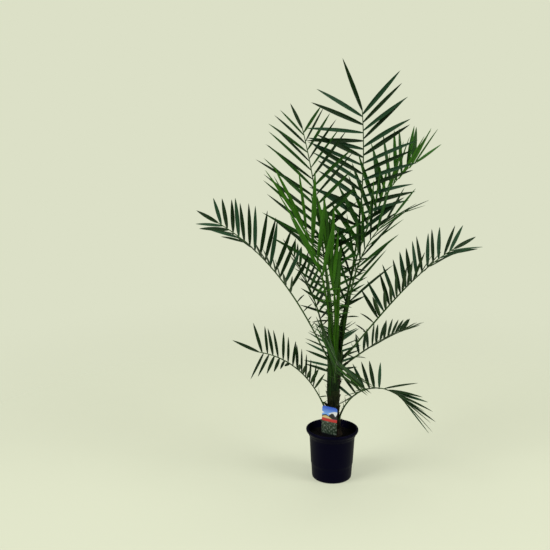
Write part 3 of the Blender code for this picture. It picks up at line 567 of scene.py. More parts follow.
def scatter_tree():
    """A pattern strewn over a surface, each with its own turn and size."""
    tree, nodes, given = growing_tree(
        "scatter", (("Pattern", "Object"), ("Density", "Float"), ("Smallest", "Float"), ("Largest", "Float"),
                    ("Lean", "Float"), ("Seed", "Int"), ("Skin", "Material")))

    def drawn(low, high, seed):
        return nodes.out("FunctionNodeRandomValue", {"data_type": "FLOAT"}, Min=low, Max=high, Seed=seed)

    pattern = nodes.add("GeometryNodeObjectInfo", Object=given["Pattern"]).outputs["Geometry"]
    strewn = nodes.add("GeometryNodeDistributePointsOnFaces", Mesh=given["Geometry"],
                       Density=given["Density"], Seed=given["Seed"]).outputs
    lean_back = nodes.times(given["Lean"], -1.0)
    angles = nodes.out("ShaderNodeCombineXYZ", X=drawn(lean_back, given["Lean"], LEAN_SEED),
                       Y=drawn(lean_back, given["Lean"], TILT_SEED),
                       Z=drawn(-math.pi, math.pi, given["Seed"]))
    turn = nodes.out("FunctionNodeRotateRotation", {"rotation_space": "LOCAL"}, Rotation=strewn["Rotation"],
                     Rotate_By=nodes.out("FunctionNodeEulerToRotation", Euler=angles))
    placed = nodes.out("GeometryNodeInstanceOnPoints", Points=strewn["Points"], Instance=pattern,
                       Rotation=turn, Scale=drawn(given["Smallest"], given["Largest"], SIZE_SEED))
    real = nodes.out("GeometryNodeRealizeInstances", Geometry=placed)
    skinned = nodes.out("GeometryNodeSetMaterial", Geometry=real, Material=given["Skin"])
    nodes.add("NodeGroupOutput", Geometry=skinned)
    return tree


def new_material(name, color, roughness, specular):
    """A material, the adder for its nodes, and its shader with its plain values set."""
    material = bpy.data.materials.new(name)
    material.use_nodes = True
    nodes = Nodes(material.node_tree)
    shader = nodes.feed(material.node_tree.nodes["Principled BSDF"], Base_Color=color, Roughness=roughness,
                        Specular_IOR_Level=specular)
    return material, nodes, shader


def leaf_material(name, color, roughness):
    """A leaflet's skin: a plain colour, fine veins along the blade and an uneven waxy gloss."""
    material, nodes, shader = new_material(name, color, roughness, specular=0.10)
    across = nodes.part(nodes.out("ShaderNodeUVMap", {"uv_map": "blade"}), "X")
    veins = nodes.math("SINE", nodes.times(across, LEAF_VEINS))
    cloud = nodes.grain(260.0)
    gloss = nodes.spread(cloud, to=(roughness - 0.10, roughness + 0.16))
    nodes.feed(shader, Sheen_Weight=0.04, Roughness=gloss)
    nodes.bump(shader, nodes.plus(veins, cloud), strength=0.35, distance=0.00012)
    return material


def stem_material(name, color, streak):
    """The skin of ribs and petioles: two greens in long streaks, and a fine grain."""
    material, nodes, shader = new_material(name, color, 0.48, specular=0.12)
    streaks = nodes.spread(nodes.grain(90.0, stretch=(1, 1, 0.15)), to=(0.0, 0.9))
    nodes.feed(shader, Base_Color=nodes.mix(streaks, color, streak))
    nodes.bump(shader, nodes.grain(900.0, stretch=(1, 1, 0.2)), strength=0.3, distance=0.0002)
    return material


def sheath_material(name, foot, head):
    """A leaf base's skin: dark below, greener above, in long streaks of paler and darker fibre."""
    material, nodes, shader = new_material(name, head, 0.55, specular=0.12)
    height = nodes.part(nodes.place(), "Z")
    streaks = nodes.grain(560.0, detail=4.0, stretch=(1, 1, 0.05))
    climb = nodes.spread(nodes.plus(height, nodes.times(streaks, 0.03)), *SHEATH_CLIMB)
    shade = nodes.spread(streaks, 0.35, 0.68, to=(0.35, 1.7))
    nodes.feed(shader, Base_Color=nodes.scaled(nodes.mix(climb, foot, head), shade))
    nodes.bump(shader, streaks, strength=0.5, distance=0.0004)
    return material


def trunk_material():
    """Dark brown fibre at the foot that passes into green leaf bases towards the crown."""
    material, nodes, shader = new_material("trunk_fibre", BARK_PLAIN, 0.85, specular=0.15)
    height = nodes.part(nodes.place(), "Z")
    fibres = nodes.grain(520.0, detail=5.0, stretch=(1, 1, 0.12))
    patches = nodes.grain(120.0, stretch=(1, 1, 0.5))
    brown = nodes.ramp(fibres, (0.36, 0.72), BARK_BROWNS)
    green = nodes.ramp(fibres, (0.3, 0.7), BARK_GREENS)
    climb = nodes.spread(nodes.plus(height, nodes.times(patches, 0.05)), *BARK_CLIMB)
    nodes.feed(shader, Base_Color=nodes.mix(climb, brown, green))
    nodes.bump(shader, fibres, strength=0.7, distance=0.0006)
    return material


def fibre_material():
    material, nodes, shader = new_material("sheath_fibre", FIBRE_PLAIN, 0.8, specular=0.15)
    nodes.feed(shader, Base_Color=nodes.mix(nodes.grain(160.0), *FIBRE_BROWNS))
    return material


def pot_material():
    """Near-black moulded plastic with a breath of blue, faint upright flow marks and fine scuffs."""
    material, nodes, shader = new_material("pot_plastic", POT_BLACK, 0.42, specular=0.045)
    flow = nodes.grain(150.0, stretch=(1, 1, 0.06))
    scuff = nodes.grain(700.0, detail=6.0)
    skin = nodes.mix(nodes.spread(scuff, to=(-0.5, 1.0)), POT_BLACK, POT_SCUFF)
    gloss = nodes.spread(flow, to=(0.34, 0.56))
    nodes.feed(shader, Specular_Tint=POT_SHEEN, Base_Color=skin, Roughness=gloss)
    nodes.bump(shader, scuff, strength=0.25, distance=0.00015)
    return material


def soil_material(name, dark, light):
    material, nodes, shader = new_material(name, dark, 0.95, specular=0.1)
    nodes.feed(shader, Base_Color=nodes.ramp(nodes.grain(900.0, detail=6.0), (0.35, 0.75), (dark, light)))
    nodes.bump(shader, nodes.grain(1400.0, detail=4.0), strength=0.9, distance=0.0006)
    return material


def tag_material():
    """A printed card: blue sky with a pale cloud bank and a dark ridge, a red band, mottled green below, and
    painted shade in near-black on its stake down in the pot.

    The UV map runs from 0 to 1 across the card and up it.
    """
    material, nodes, shader = new_material("tag_card", CARD_PLAIN, 0.34, specular=0.4)
    spot = nodes.out("ShaderNodeUVMap", {"uv_map": "card"})
    across, up = nodes.part(spot, "X"), nodes.part(spot, "Y")

    def above(edge, soft=CARD_EDGE):
        return nodes.spread(nodes.math("SUBTRACT", up, edge), -soft, soft)

    def between(low, high):
        return nodes.times(above(low), nodes.math("SUBTRACT", 1.0, above(high)))

    mottle = nodes.add("ShaderNodeTexNoise", Vector=spot, Scale=17.0, Detail=3.0).outputs["Fac"]
    lower = nodes.mix(nodes.spread(mottle, 0.50, 0.60), CARD_GREEN, CARD_FLECK)
    # The stake, down in the pot under the rim, is painted near-black as painted shade.
    lower = nodes.mix(above(STAKE_SHADE_TOP), CARD_STAKE_SHADE, lower)
    wave = nodes.times(nodes.math("SINE", nodes.times(across, CARD_WAVES)), CARD_WAVE)
    cloud = between(nodes.plus(wave, CLOUD_FOOT), nodes.plus(nodes.times(wave, CLOUD_TOP_WAVE), CLOUD_TOP))
    peaks = nodes.times(nodes.math("ABSOLUTE", nodes.math("SINE", nodes.times(across, RIDGE_PEAKS))),
                        nodes.times(across, RIDGE_SLOPE))
    picture = nodes.mix(above(SKY_TURN, SKY_FADE), CARD_LOW_SKY, CARD_HIGH_SKY)
    picture = nodes.mix(cloud, picture, CARD_CLOUD)
    picture = nodes.mix(between(RIDGE_FOOT, nodes.plus(peaks, RIDGE_TOP)), picture, CARD_RIDGE)
    picture = nodes.mix(between(RED_TOP, nodes.plus(wave, SAND_TOP)), picture, CARD_SAND)
    banded = nodes.mix(above(RED_FOOT), lower, CARD_RED)
    nodes.feed(shader, Base_Color=nodes.mix(above(RED_TOP), banded, picture))
    nodes.bump(shader, mottle, strength=0.08, distance=0.0001)
    return material


def floor_material():
    """A matt pale floor that fades into the backdrop round the plant."""
    material, nodes, shader = new_material("studio_floor", FLOOR_COLOR, 1.0, specular=0.0)
    nodes.feed(shader, Emission_Color=FLOOR_COLOR, Emission_Strength=FLOOR_GLOW)
    away = nodes.add("ShaderNodeVectorMath", {"operation": "LENGTH"}, _0=nodes.place()).outputs["Value"]
    fade = nodes.out("ShaderNodeMapRange", {"interpolation_type": "SMOOTHSTEP"}, Value=away,
                     From_Min=FLOOR_FADE[0], From_Max=FLOOR_FADE[1])
    clear = nodes.out("ShaderNodeBsdfTransparent")
    faded = nodes.out("ShaderNodeMixShader", _0=fade, _1=shader.outputs[0], _2=clear)
    nodes.feed(nodes.tree.nodes["Material Output"], Surface=faded)
    return material


def circle(sides, radius=1.0, start=0.0):
    """Points (x, y) round a circle, from a share of a step on."""
    angles = [math.tau * (i + start) / sides for i in range(sides)]
    return [(radius * math.cos(angle), radius * math.sin(angle)) for angle in angles]


def tube_faces(rings, sides, start=0):
    """Faces between rings of points that run anticlockwise, seen from the end that they lead to."""
    faces = []
    for k in range(rings - 1):
        low, high = start + k * sides, start + (k + 1) * sides
        for i in range(sides):
            j = (i + 1) % sides
            faces.append((low + i, low + j, high + j, high + i))
    return faces


def capped_faces(rings, sides, start=0):
    """A tube with a flat cap at either end."""
    last = start + (rings - 1) * sides
    caps = [tuple(reversed(range(start, start + sides))), tuple(range(last, last + sides))]
    return tube_faces(rings, sides, start) + caps


def pointed_faces(rings, sides, start=0):
    """A tube that runs to a point, the next one after its last ring, and is open at its foot."""
    last = start + (rings - 1) * sides
    return tube_faces(rings, sides, start) + [
        (last + i, last + (i + 1) % sides, last + sides) for i in range(sides)]


def turned(name, profile, sides, material, smooth):
    """A solid of revolution. The profile is (radius, height) points that start and end on the axis."""
    verts = [(0, 0, profile[0][1])]
    for radius, height in profile[1:-1]:
        verts += [(x, y, height) for x, y in circle(sides, radius)]
    verts.append((0, 0, profile[-1][1]))
    foot = [(0, 1 + (i + 1) % sides, 1 + i) for i in range(sides)]
    return add_mesh(name, verts, foot + pointed_faces(len(profile) - 2, sides, 1), material, smooth)


def pot_wall_outside(height):
    """The radius of the wall's outer face below the rim."""
    heights = (0, POT_CORNER, POT_LEDGE_HEIGHT - POT_LEDGE_DROP, POT_LEDGE_HEIGHT, POT_NECK_HEIGHT)
    radii = (POT_FOOT_RADIUS, POT_FOOT_RADIUS, POT_FOOT_RADIUS + POT_LEDGE_DRAFT, POT_LEDGE_RADIUS,
             POT_NECK_RADIUS)
    return float(np.interp(height, heights, radii))


def rounded(points):
    """The open line of (radius, height) points with its inner corners cut twice over."""
    near, far = 1 - CORNER_CUT, CORNER_CUT
    for _ in range(2):
        smoother = [points[0]]
        for a, b in zip(points, points[1:]):
            smoother.append((near * a[0] + far * b[0], near * a[1] + far * b[1]))
            smoother.append((far * a[0] + near * b[0], far * a[1] + near * b[1]))
        points = smoother + [points[-1]]
    return points


def make_pot(material):
    outside = [(POT_FOOT_RADIUS - inward, up) for inward, up in POT_CORNER_STEPS]
    for height in (POT_LEDGE_HEIGHT - POT_LEDGE_DROP, POT_LEDGE_HEIGHT - POT_LEDGE_LIP_HEIGHT):
        outside.append((pot_wall_outside(height), height))
    outside.append((POT_LEDGE_RADIUS + POT_LEDGE_LIP, POT_LEDGE_HEIGHT))
    outside.append((POT_NECK_RADIUS, POT_NECK_HEIGHT))
    rim = [(POT_RIM_RADIUS - inward, POT_HEIGHT - down) for inward, down in POT_RIM_STEPS]
    inside = [(pot_wall_outside(height) - POT_WALL, height) for height in reversed(POT_WALL_HEIGHTS)]
    inside.append((POT_FOOT_RADIUS - POT_CORNER_INSET - POT_WALL, POT_FLOOR))
    profile = [(0, 0)] + rounded(outside + rim + inside) + [(0, POT_FLOOR)]
    pot = turned("nursery_pot", profile, POT_SIDES, material, POT_CREASE)
    cut_drain_holes(pot)
    return pot


def cut_drain_holes(pot):
    verts, faces = [], []
    for x, y in circle(DRAIN_HOLES, DRAIN_RING, 0.5):
        faces += capped_faces(2, DRAIN_SIDES, len(verts))
        for z in (-DRAIN_OVERSHOOT, POT_FLOOR + DRAIN_OVERSHOOT):
            verts += [(x + a, y + b, z) for a, b in circle(DRAIN_SIDES, DRAIN_RADIUS)]
    cutter = add_mesh("drain_cutter", verts, faces)
    cut = pot.modifiers.new("drain", "BOOLEAN")
    cut.operation = "DIFFERENCE"
    cut.solver = "EXACT"
    cut.object = cutter
    final_mesh(pot)
    remove(cutter)
    pot.data.set_sharp_from_angle(angle=math.radians(POT_CREASE))


def soil_height(x, y):
    """The lumpy top of the compost, flat where the trunk stands."""
    lumps = sum(share * noise.noise(Vector((x * scale, y * scale, layer)))
                for scale, layer, share in SOIL_NOISE)
    clear = min(1.0, max(0.0, (math.hypot(x, y) - SOIL_FLAT_RADIUS) / SOIL_FLAT_EASE))
    return SOIL_TOP + SOIL_LUMP * lumps * clear


def make_soil(material):
    """The compost: filled to just below the rim, with the pot's own taper inside."""
    bottom = POT_FLOOR + GAP
    side = [(POT_FOOT_RADIUS - POT_CORNER_INSET - POT_WALL - GAP, bottom)]
    side += [(pot_wall_outside(height) - POT_WALL - GAP, height) for height in POT_WALL_HEIGHTS]
    edge = POT_NECK_RADIUS - GAP
    top = [(edge * (1 - k / SOIL_RINGS), SOIL_TOP) for k in range(SOIL_RINGS)]
    profile = [(0, bottom)] + side + top + [(0, SOIL_TOP)]
    soil = turned("compost_fill", profile, SOIL_SIDES, material, smooth=60)
    for vert in soil.data.vertices:
        if vert.co.z > POT_NECK_HEIGHT + GAP:
            vert.co.z = soil_height(vert.co.x, vert.co.y)
    return soil


def make_crumbs(tree, material):
    """Crumbs and bark bits that lie on the compost."""
    verts, faces = [], []
    sides = CRUMB_BED_SIDES
    for radius in CRUMB_BED:
        verts += [(x, y, soil_height(x, y)) for x, y in circle(sides, radius)]
    for a, b, c, d in tube_faces(len(CRUMB_BED), sides):
        faces.append((a, d, c, b))
    bed = add_mesh("compost_crumbs", verts, faces)
    crumb = crumb_pattern()
    grow(bed, tree, {"Pattern": crumb, "Skin": material, **CRUMB_STREWING})
    remove(crumb)
    return bed


def crumb_pattern():
    """One angular crumb of compost, about a millimetre across."""
    shape = bmesh.new()
    bmesh.ops.create_icosphere(shape, subdivisions=1, radius=CRUMB_RADIUS)
    for vert in shape.verts:
        vert.co *= 1 + CRUMB_DENT * noise.noise(vert.co * CRUMB_DENT_SCALE)
        vert.co.z *= CRUMB_FLATNESS
    crumb = add_mesh("crumb", [], [])
    shape.to_mesh(crumb.data)
    shape.free()
    return crumb


def make_tag(material):
    """The care tag: a thin card, a little curled, with rounded upper corners and a pointed lower end."""
    tilt, turn = math.radians(TAG_TILT), math.radians(TAG_TURN)
    verts, spots = [], []
    for face in (-1, 1):
        for row in range(TAG_ROWS + 1):
            rise = row / TAG_ROWS
            z = TAG_SHOWN_FOOT + (TAG_TOP - TAG_SHOWN_FOOT) * rise
            half = tag_half_width(z)
            for column in range(TAG_COLUMNS + 1):
                x = half * (2 * column / TAG_COLUMNS - 1)
                curl = TAG_CURL * (x / (TAG_WIDTH / 2)) ** 2 - TAG_CURL * rise ** 2
                across = x * math.cos(tilt) + (z - TAG_SHOULDER) * math.sin(tilt)
                up = TAG_SHOULDER - x * math.sin(tilt) + (z - TAG_SHOULDER) * math.cos(tilt)
                depth = face * CARD_THICKNESS / 2 + curl
                verts.append((TAG_PLACE[0] + across * math.cos(turn) + depth * math.sin(turn),
                              TAG_PLACE[1] - across * math.sin(turn) + depth * math.cos(turn), up))
                spots.append((x / TAG_WIDTH + 0.5, rise))
    tag = add_mesh("printed_tag", verts, tag_faces(), material, smooth=40)
    layer = tag.data.uv_layers.new(name="card")
    for loop in tag.data.loops:
        layer.data[loop.index].uv = spots[loop.vertex_index]
    return tag


def tag_faces():
    """The card's front, its back and the narrow faces round its edge."""
    wide = TAG_COLUMNS + 1
    sheet = wide * (TAG_ROWS + 1)
    faces = []
    for row in range(TAG_ROWS):
        for a in range(row * wide, row * wide + TAG_COLUMNS):
            front = (a, a + 1, a + 1 + wide, a + wide)
            faces += [front, tuple(sheet + i for i in reversed(front))]
    border = [*range(wide), *(wide * k + wide - 1 for k in range(1, TAG_ROWS + 1)),
              *(sheet - 1 - k for k in range(1, wide)), *(wide * k for k in range(TAG_ROWS - 1, 0, -1))]
    for a, b in zip(border, border[1:] + border[:1]):
        faces.append((b, a, sheet + a, sheet + b))
    return faces


def tag_half_width(z):
    """Half the card's width at a height: rounded at the top, and drawn in to a point below its shoulder."""
    if z < TAG_SHOULDER:
        share = (z - SOIL_TOP + TAG_DEPTH) / (TAG_SHOULDER - SOIL_TOP + TAG_DEPTH)
        return TAG_POINT_HALF_WIDTH + (TAG_WIDTH / 2 - TAG_POINT_HALF_WIDTH) * share
    down = TAG_CORNER - (TAG_TOP - z)
    if down <= 0:
        return TAG_WIDTH / 2
    return TAG_WIDTH / 2 - TAG_CORNER + math.sqrt(max(0.0, TAG_CORNER ** 2 - down ** 2))


def trunk_share(height):
    return (height - TRUNK_FOOT) / (TRUNK_TOP - TRUNK_FOOT)


def trunk_center(height):
    t = trunk_share(height)
    x = TRUNK_FOOT_X * (1 - t) + TRUNK_TOP_X * t - TRUNK_BOW * 4 * t * (1 - t)
    return Vector((x, 0, height))


def trunk_radius(height):
    flare = TRUNK_FLARE * math.exp(-(height - TRUNK_FOOT) / TRUNK_FLARE_HEIGHT)
    return TRUNK_RADIUS + flare + TRUNK_SWELL * trunk_share(height) ** 3


def outwards(degrees):
    """The level direction at an angle round the trunk."""
    angle = math.radians(degrees)
    return Vector((math.cos(angle), math.sin(angle), 0))


def boot_foot(index):
    return BOOT_FIRST + (BOOT_LAST - BOOT_LENGTH - BOOT_FIRST) * index / (BOOT_COUNT - 1)


def bark_relief(angle, height):
    """How far the bark stands out: the scars of old leaves in a spiral, and upright ridges of fibre."""
    relief = 0.0
    for i in range(-SCARS_BELOW, BOOT_COUNT):
        up = (height - boot_foot(i)) / SCAR_LENGTH
        off = (angle - math.radians(BOOT_TURN * i) + math.pi) % math.tau - math.pi
        if 0 < up < 1 and abs(off) < SCAR_HALF_TURN:
            lip = min(up / SCAR_LIP, (1 - up) / (1 - SCAR_LIP))
            relief = max(relief, SCAR_RELIEF * lip * (1 - (off / SCAR_HALF_TURN) ** 2))
    broad = bark_grain(angle, height, *BROAD_RIDGE_SCALES)
    return relief + BROAD_RIDGE * broad + FINE_RIDGE * abs(bark_grain(angle, height, *FINE_RIDGE_SCALES))


def bark_grain(angle, height, around, up):
    """Noise over the trunk's surface. Around and up are its scales round the trunk and up it."""
    return noise.noise(Vector((math.cos(angle) * around, math.sin(angle) * around, height * up)))


def make_trunk(material):
    verts = []
    for k in range(TRUNK_RINGS + 1):
        height = TRUNK_FOOT + (TRUNK_TOP - TRUNK_FOOT) * k / TRUNK_RINGS
        dome = math.sqrt(max(0.0, 1 - max(0.0, (height - TRUNK_TOP + DOME_DROP) / DOME_HEIGHT) ** 2))
        for i in range(TRUNK_SIDES):
            angle = math.tau * i / TRUNK_SIDES
            radius = (trunk_radius(height) + bark_relief(angle, height) * dome - BARK_INSET) * dome
            verts.append(trunk_center(height) + Vector((math.cos(angle), math.sin(angle), 0)) * radius)
    return add_mesh("trunk_bark", verts, capped_faces(TRUNK_RINGS + 1, TRUNK_SIDES), material, smooth=50)


def stub_pattern():
    """The cut-off base of an old leaf, one unit long: a wedge with a hollow inner side."""
    verts = []
    for up, half_width, thickness, out in STUB_SECTIONS:
        for x, y in circle(STUB_SIDES):
            hollow = STUB_HOLLOW * max(0.0, -y) ** 2
            verts.append((half_width * x, up, out + thickness * (0.5 * y + hollow)))
    return pattern_object("stub", verts, capped_faces(len(STUB_SECTIONS), STUB_SIDES))


def pattern_object(name, verts, faces, upper_faces=None, spots=None):
    """A shape for the blade tree: one unit along +Y, with its share along and its underside marked."""
    obj = add_mesh(name, verts, faces)
    face_outwards(obj)
    add_attribute(obj.data, "share", "FLOAT", [v[1] for v in verts])
    under = obj.data.attributes.new("underside", "BOOLEAN", "FACE")
    for face in obj.data.polygons:
        under.data[face.index].value = upper_faces is not None and face.index not in upper_faces
    layer = obj.data.uv_layers.new(name="blade")
    for loop in obj.data.loops:
        layer.data[loop.index].uv = spots[loop.vertex_index] if spots else (0, 0)
    return obj


def leaflet_pattern(name, fold):
    """A folded lance-shaped blade, one unit long and wide. Fold is its keel's depth, in widths."""
    verts, spots = [], []
    for share, width in BLADE_OUTLINE:
        half = width / 2
        keel = -fold * width * (1 - KEEL_FADE * share)
        back = keel - BLADE_THICKNESS * (1 - BLADE_THINNING * share)
        for x, z in ((-half, BLADE_EDGE_RISE), (0, keel), (half, BLADE_EDGE_RISE), (0, back)):
            verts.append((x, share, z))
            spots.append((x + 0.5, share))
    verts.append((0, 1.0, 0))
    spots.append((0.5, 1.0))
    faces = pointed_faces(len(BLADE_OUTLINE), 4)
    # The first two of the four faces round each stretch of the blade look up.
    upper = {k for k in range(len(faces)) if k % 4 < 2}
    obj = pattern_object(name, verts, faces + [(0, 3, 2, 1)], upper, spots)
    shade_smooth(obj.data, BLADE_CREASE)
    return obj


def spine_pattern():
    """A slender green spine, one unit long."""
    verts = []
    for share, radius in SPINE_SECTIONS:
        verts += [(x, share, SPINE_FLATNESS * z) for x, z in circle(4, radius, 0.5)]
    verts.append((0, 1, 0))
    return pattern_object("spine", verts, pointed_faces(len(SPINE_SECTIONS), 4) + [(0, 1, 2, 3)])


def fibre_pattern():
    """A stiff thread that stands up from the sheath, one unit long, three-sided."""
    verts = []
    for z, bow, radius in FIBRE_SECTIONS:
        verts += [(bow + x, y, z) for x, y in circle(3, radius)]
    verts.append((FIBRE_TIP_BOW, 0, 1))
    return add_mesh("fibre", verts, pointed_faces(len(FIBRE_SECTIONS), 3))


def spaced(values, w):
    """The value at a share of the leafy part, along which the given ones are evenly spaced."""
    return float(np.interp(w, np.linspace(0, 1, len(values)), values))


class Rib:
    """The middle line of a frond: where it runs, and which way its blade lies at each place."""

    def __init__(self, frond, start):
        self.frond = frond
        self.places = np.linspace(0, 1, CURVE_STEPS + 1)
        middles = (self.places[1:] + self.places[:-1]) / 2
        climb = np.radians(frond.rise + (frond.fall - frond.rise) * middles ** frond.bend)
        heading = np.radians(frond.heading + frond.swing * middles)
        steps = np.stack([np.cos(climb) * np.cos(heading), np.cos(climb) * np.sin(heading), np.sin(climb)], 1)
        steps *= frond.length / CURVE_STEPS
        self.points = np.vstack([np.zeros(3), np.cumsum(steps, 0)]) + np.array(start)

    def at(self, place):
        """Point, direction, left side and upper side of the blade at a share of the length."""
        f = self.frond
        climb = math.radians(f.rise + (f.fall - f.rise) * place ** f.bend)
        heading = math.radians(f.heading + f.swing * place)
        point = Vector([float(np.interp(place, self.places, self.points[:, k])) for k in range(3)])
        side = Vector((-math.sin(heading), math.cos(heading), 0))
        level = Vector((side.y, -side.x, 0))
        along = level * math.cos(climb) + Vector((0, 0, math.sin(climb)))
        over = along.cross(side)
        leafy = max(0.0, place - f.bare) / (1 - f.bare)
        roll = math.radians(spaced(f.roll, leafy)) * min(1.0, place / f.bare)
        left = side * math.cos(roll) + over * math.sin(roll)
        return point, along, left, along.cross(left)

    def half_sizes(self, place):
        taper, girth = place ** RIB_TAPER, self.frond.girth
        width = PETIOLE_HALF_WIDTH + (RIB_TIP_HALF_WIDTH - PETIOLE_HALF_WIDTH) * taper
        depth = PETIOLE_HALF_DEPTH + (RIB_TIP_HALF_DEPTH - PETIOLE_HALF_DEPTH) * taper
        return width * girth, depth * girth

    def ring(self, place, swell=0.0):
        """Upper left, lower left, lower right and upper right corners of the solid's rib."""
        point, _, left, over = self.at(place)
        width, depth = (half + swell for half in self.half_sizes(place))
        return [point + left * a * width + over * b * depth for a, b in ((1, 1), (1, -1), (-1, -1), (-1, 1))]


def solid_tree(node):
    """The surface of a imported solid, its loose triangles merged, for tests of what is inside it."""
    shape = bmesh.new()
    shape.from_mesh(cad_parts[node].data)
    bmesh.ops.remove_doubles(shape, verts=shape.verts, dist=1e-6)
    tree = BVHTree.FromBMesh(shape)
    shape.free()
    return tree


def seated_rib(frond, trunk):
    """Moves the rib out from the trunk's middle until its lower end just clears the trunk and its stubs."""
    out = outwards(frond.seat)
    if frond.height >= TRUNK_TOP:
        start = trunk_center(TRUNK_TOP) + out * CROWN_RING
        lowest = min(corner.z for corner in Rib(frond, start).ring(0))
        return Rib(frond, start + Vector((0, 0, TRUNK_TOP + GAP - lowest)))
    reach = trunk_radius(frond.height)
    rib = Rib(frond, trunk_center(frond.height) + out * reach)
    while not foot_clear(rib, trunk):
        reach += SEAT_STEP
        rib = Rib(frond, trunk_center(frond.height) + out * reach)
    return rib


def foot_clear(rib, trunk):
    """Whether the lower quarter of the rib, swollen by the gap, lies wholly outside the trunk."""
    rings = [rib.ring(place, GAP) for place in np.linspace(0, FOOT_SHARE, FOOT_RINGS)]
    for corner in rings[0]:
        spot, normal, _, _ = trunk.find_nearest(corner)
        if (corner - spot).dot(normal) <= 0:
            return False
    faces = [(0, 1, 2, 3)] + tube_faces(FOOT_RINGS, 4)
    foot = BVHTree.FromPolygons([corner for ring in rings for corner in ring], faces)
    return not foot.overlap(trunk)


def leaflet_length(frond, w):
    foot, middle, tip = frond.leaflets
    return foot * (1 - w) * (1 - 2 * w) + middle * 4 * w * (1 - w) + tip * w * (2 * w - 1)


def blade_row(root, target, face, breadth, bow):
    """One blade that runs from its root to its target, however far it bows between."""
    stretch = target - bow - root
    return {"root": root, "aim": stretch.normalized(), "face": face, "reach": stretch.length,
            "breadth": breadth, "bow": bow}


def leaflet_rows(rib, seed):
    """Every leaflet of a frond: two rows along the rib and the last one at its tip."""
    chance = random.Random(seed)
    extra = random.Random(seed + FINE_SEED)
    frond = rib.frond
    rows = []
    foot = LEAFLET_FOOT / frond.length
    for k in range(frond.pairs):
        for hand in (1, -1):
            w = (k + 0.5) / frond.pairs
            turn = chance.uniform(-ANGLE_SCATTER, ANGLE_SCATTER)
            share = 1 + chance.uniform(-LENGTH_SCATTER, LENGTH_SCATTER)
            shift = PAIR_SHIFT * (0.5 if hand < 0 else -0.5) / frond.pairs
            place = frond.bare + (1 - frond.bare - foot) * max(0.0, w + shift) ** LEAFLET_CROWDING
            rows.append(leaflet_row(rib, place, w, hand, turn, share, extra))
    point, along, left, over = rib.at(1.0)
    lean = math.radians(frond.last_turn)
    direction = along * math.cos(lean) + left * math.sin(lean)
    target = point + direction * frond.leaflets[2] * LAST_SHARE
    rows.append(blade_row(point - along * LAST_SINK, target, over, frond.width, Vector((0, 0, 0))))
    return rows


def leaflet_row(rib, place, w, hand, turn, share, extra):
    frond = rib.frond
    point, along, left, over = rib.at(place)
    away = math.radians(spaced(frond.spread, w) + hand * spaced(frond.skew, w) + turn)
    vee = math.radians(spaced(frond.vee, w) + extra.uniform(-VEE_SCATTER, VEE_SCATTER))
    out = left * hand * math.cos(vee) + over * math.sin(vee)
    direction = along * math.cos(away) + out * math.sin(away)
    across = (along - direction * along.dot(direction)).normalized()
    normal = direction.cross(across)
    if normal.dot(over) < 0:
        normal.negate()
    length = leaflet_length(frond, w) * share
    root = point + left * hand * LEAFLET_ROOT * rib.half_sizes(place)[0]
    target = root + direction * length - Vector((0, 0, LEAFLET_DROOP * length))
    flat = math.hypot(direction.x, direction.y)
    down = extra.uniform(*frond.sag) * length * (UPRIGHT_SAG + (1 - UPRIGHT_SAG) * flat)
    bow = Vector((0, 0, -down)) + along * extra.uniform(*FORWARD_BOW) * length
    breadth = frond.width * extra.uniform(*BREADTH_SCATTER)
    twist = math.radians(extra.uniform(-TWIST_SCATTER, TWIST_SCATTER))
    face = normal * math.cos(twist) + across * math.sin(twist)
    return blade_row(root, target, face, breadth, bow)


def spine_rows(rib, seed):
    """The spines and small thin leaflets that run down the petiole's edges, shorter towards the trunk."""
    chance = random.Random(seed)
    frond = rib.frond
    spines, lowest = [], []
    count = round(frond.bare * frond.length / SPINE_SPACING)
    for k in range(count):
        t = (k + 0.5) / count
        leafy = t > SPINY_SHARE
        if leafy and k % 2:
            continue
        for hand in (1, -1):
            place = frond.bare * (SPINES_FROM + SPINES_SPAN * t)
            place += chance.uniform(-SPINE_PLACE_SCATTER, SPINE_PLACE_SCATTER)
            point, along, left, over = rib.at(place)
            away = math.radians(SPINE_ANGLE + chance.uniform(-SPINE_ANGLE_SCATTER, SPINE_ANGLE_SCATTER))
            lift = LOW_LEAFLET_LIFT * spaced(frond.vee, 0)
            lift = math.radians(lift + chance.uniform(-SPINE_LIFT_SCATTER, SPINE_LIFT_SCATTER))
            out = left * hand * math.cos(lift) + over * math.sin(lift)
            direction = along * math.cos(away) + out * math.sin(away)
            length = SPINE_LENGTH + (LOW_LEAFLET_LENGTH - SPINE_LENGTH) * t ** LOW_LEAFLET_EASE
            length *= chance.uniform(*SPINE_LENGTH_SCATTER)
            root = point + left * hand * SPINE_ROOT * rib.half_sizes(place)[0]
            bow = Vector((0, 0, -LOW_LEAFLET_SAG * length * t))
            breadth = SPINE_WIDTH + (LOW_LEAFLET_WIDTH - SPINE_WIDTH) * t
            row = blade_row(root, root + direction * length + bow, over, breadth, bow)
            (lowest if leafy else spines).append(row)
    return spines, lowest


def blades_from(name, rows, pattern, tree, upper, under):
    """A piece with the pattern grown on every row."""
    piece = add_mesh(name, [row["root"] for row in rows], [])
    for key, kind in (("aim", "FLOAT_VECTOR"), ("face", "FLOAT_VECTOR"), ("reach", "FLOAT"),
                      ("breadth", "FLOAT"), ("bow", "FLOAT_VECTOR")):
        add_attribute(piece.data, key, kind, [row[key] for row in rows])
    return grow(piece, tree, {"Pattern": pattern, "Upper Side": upper, "Underside": under})


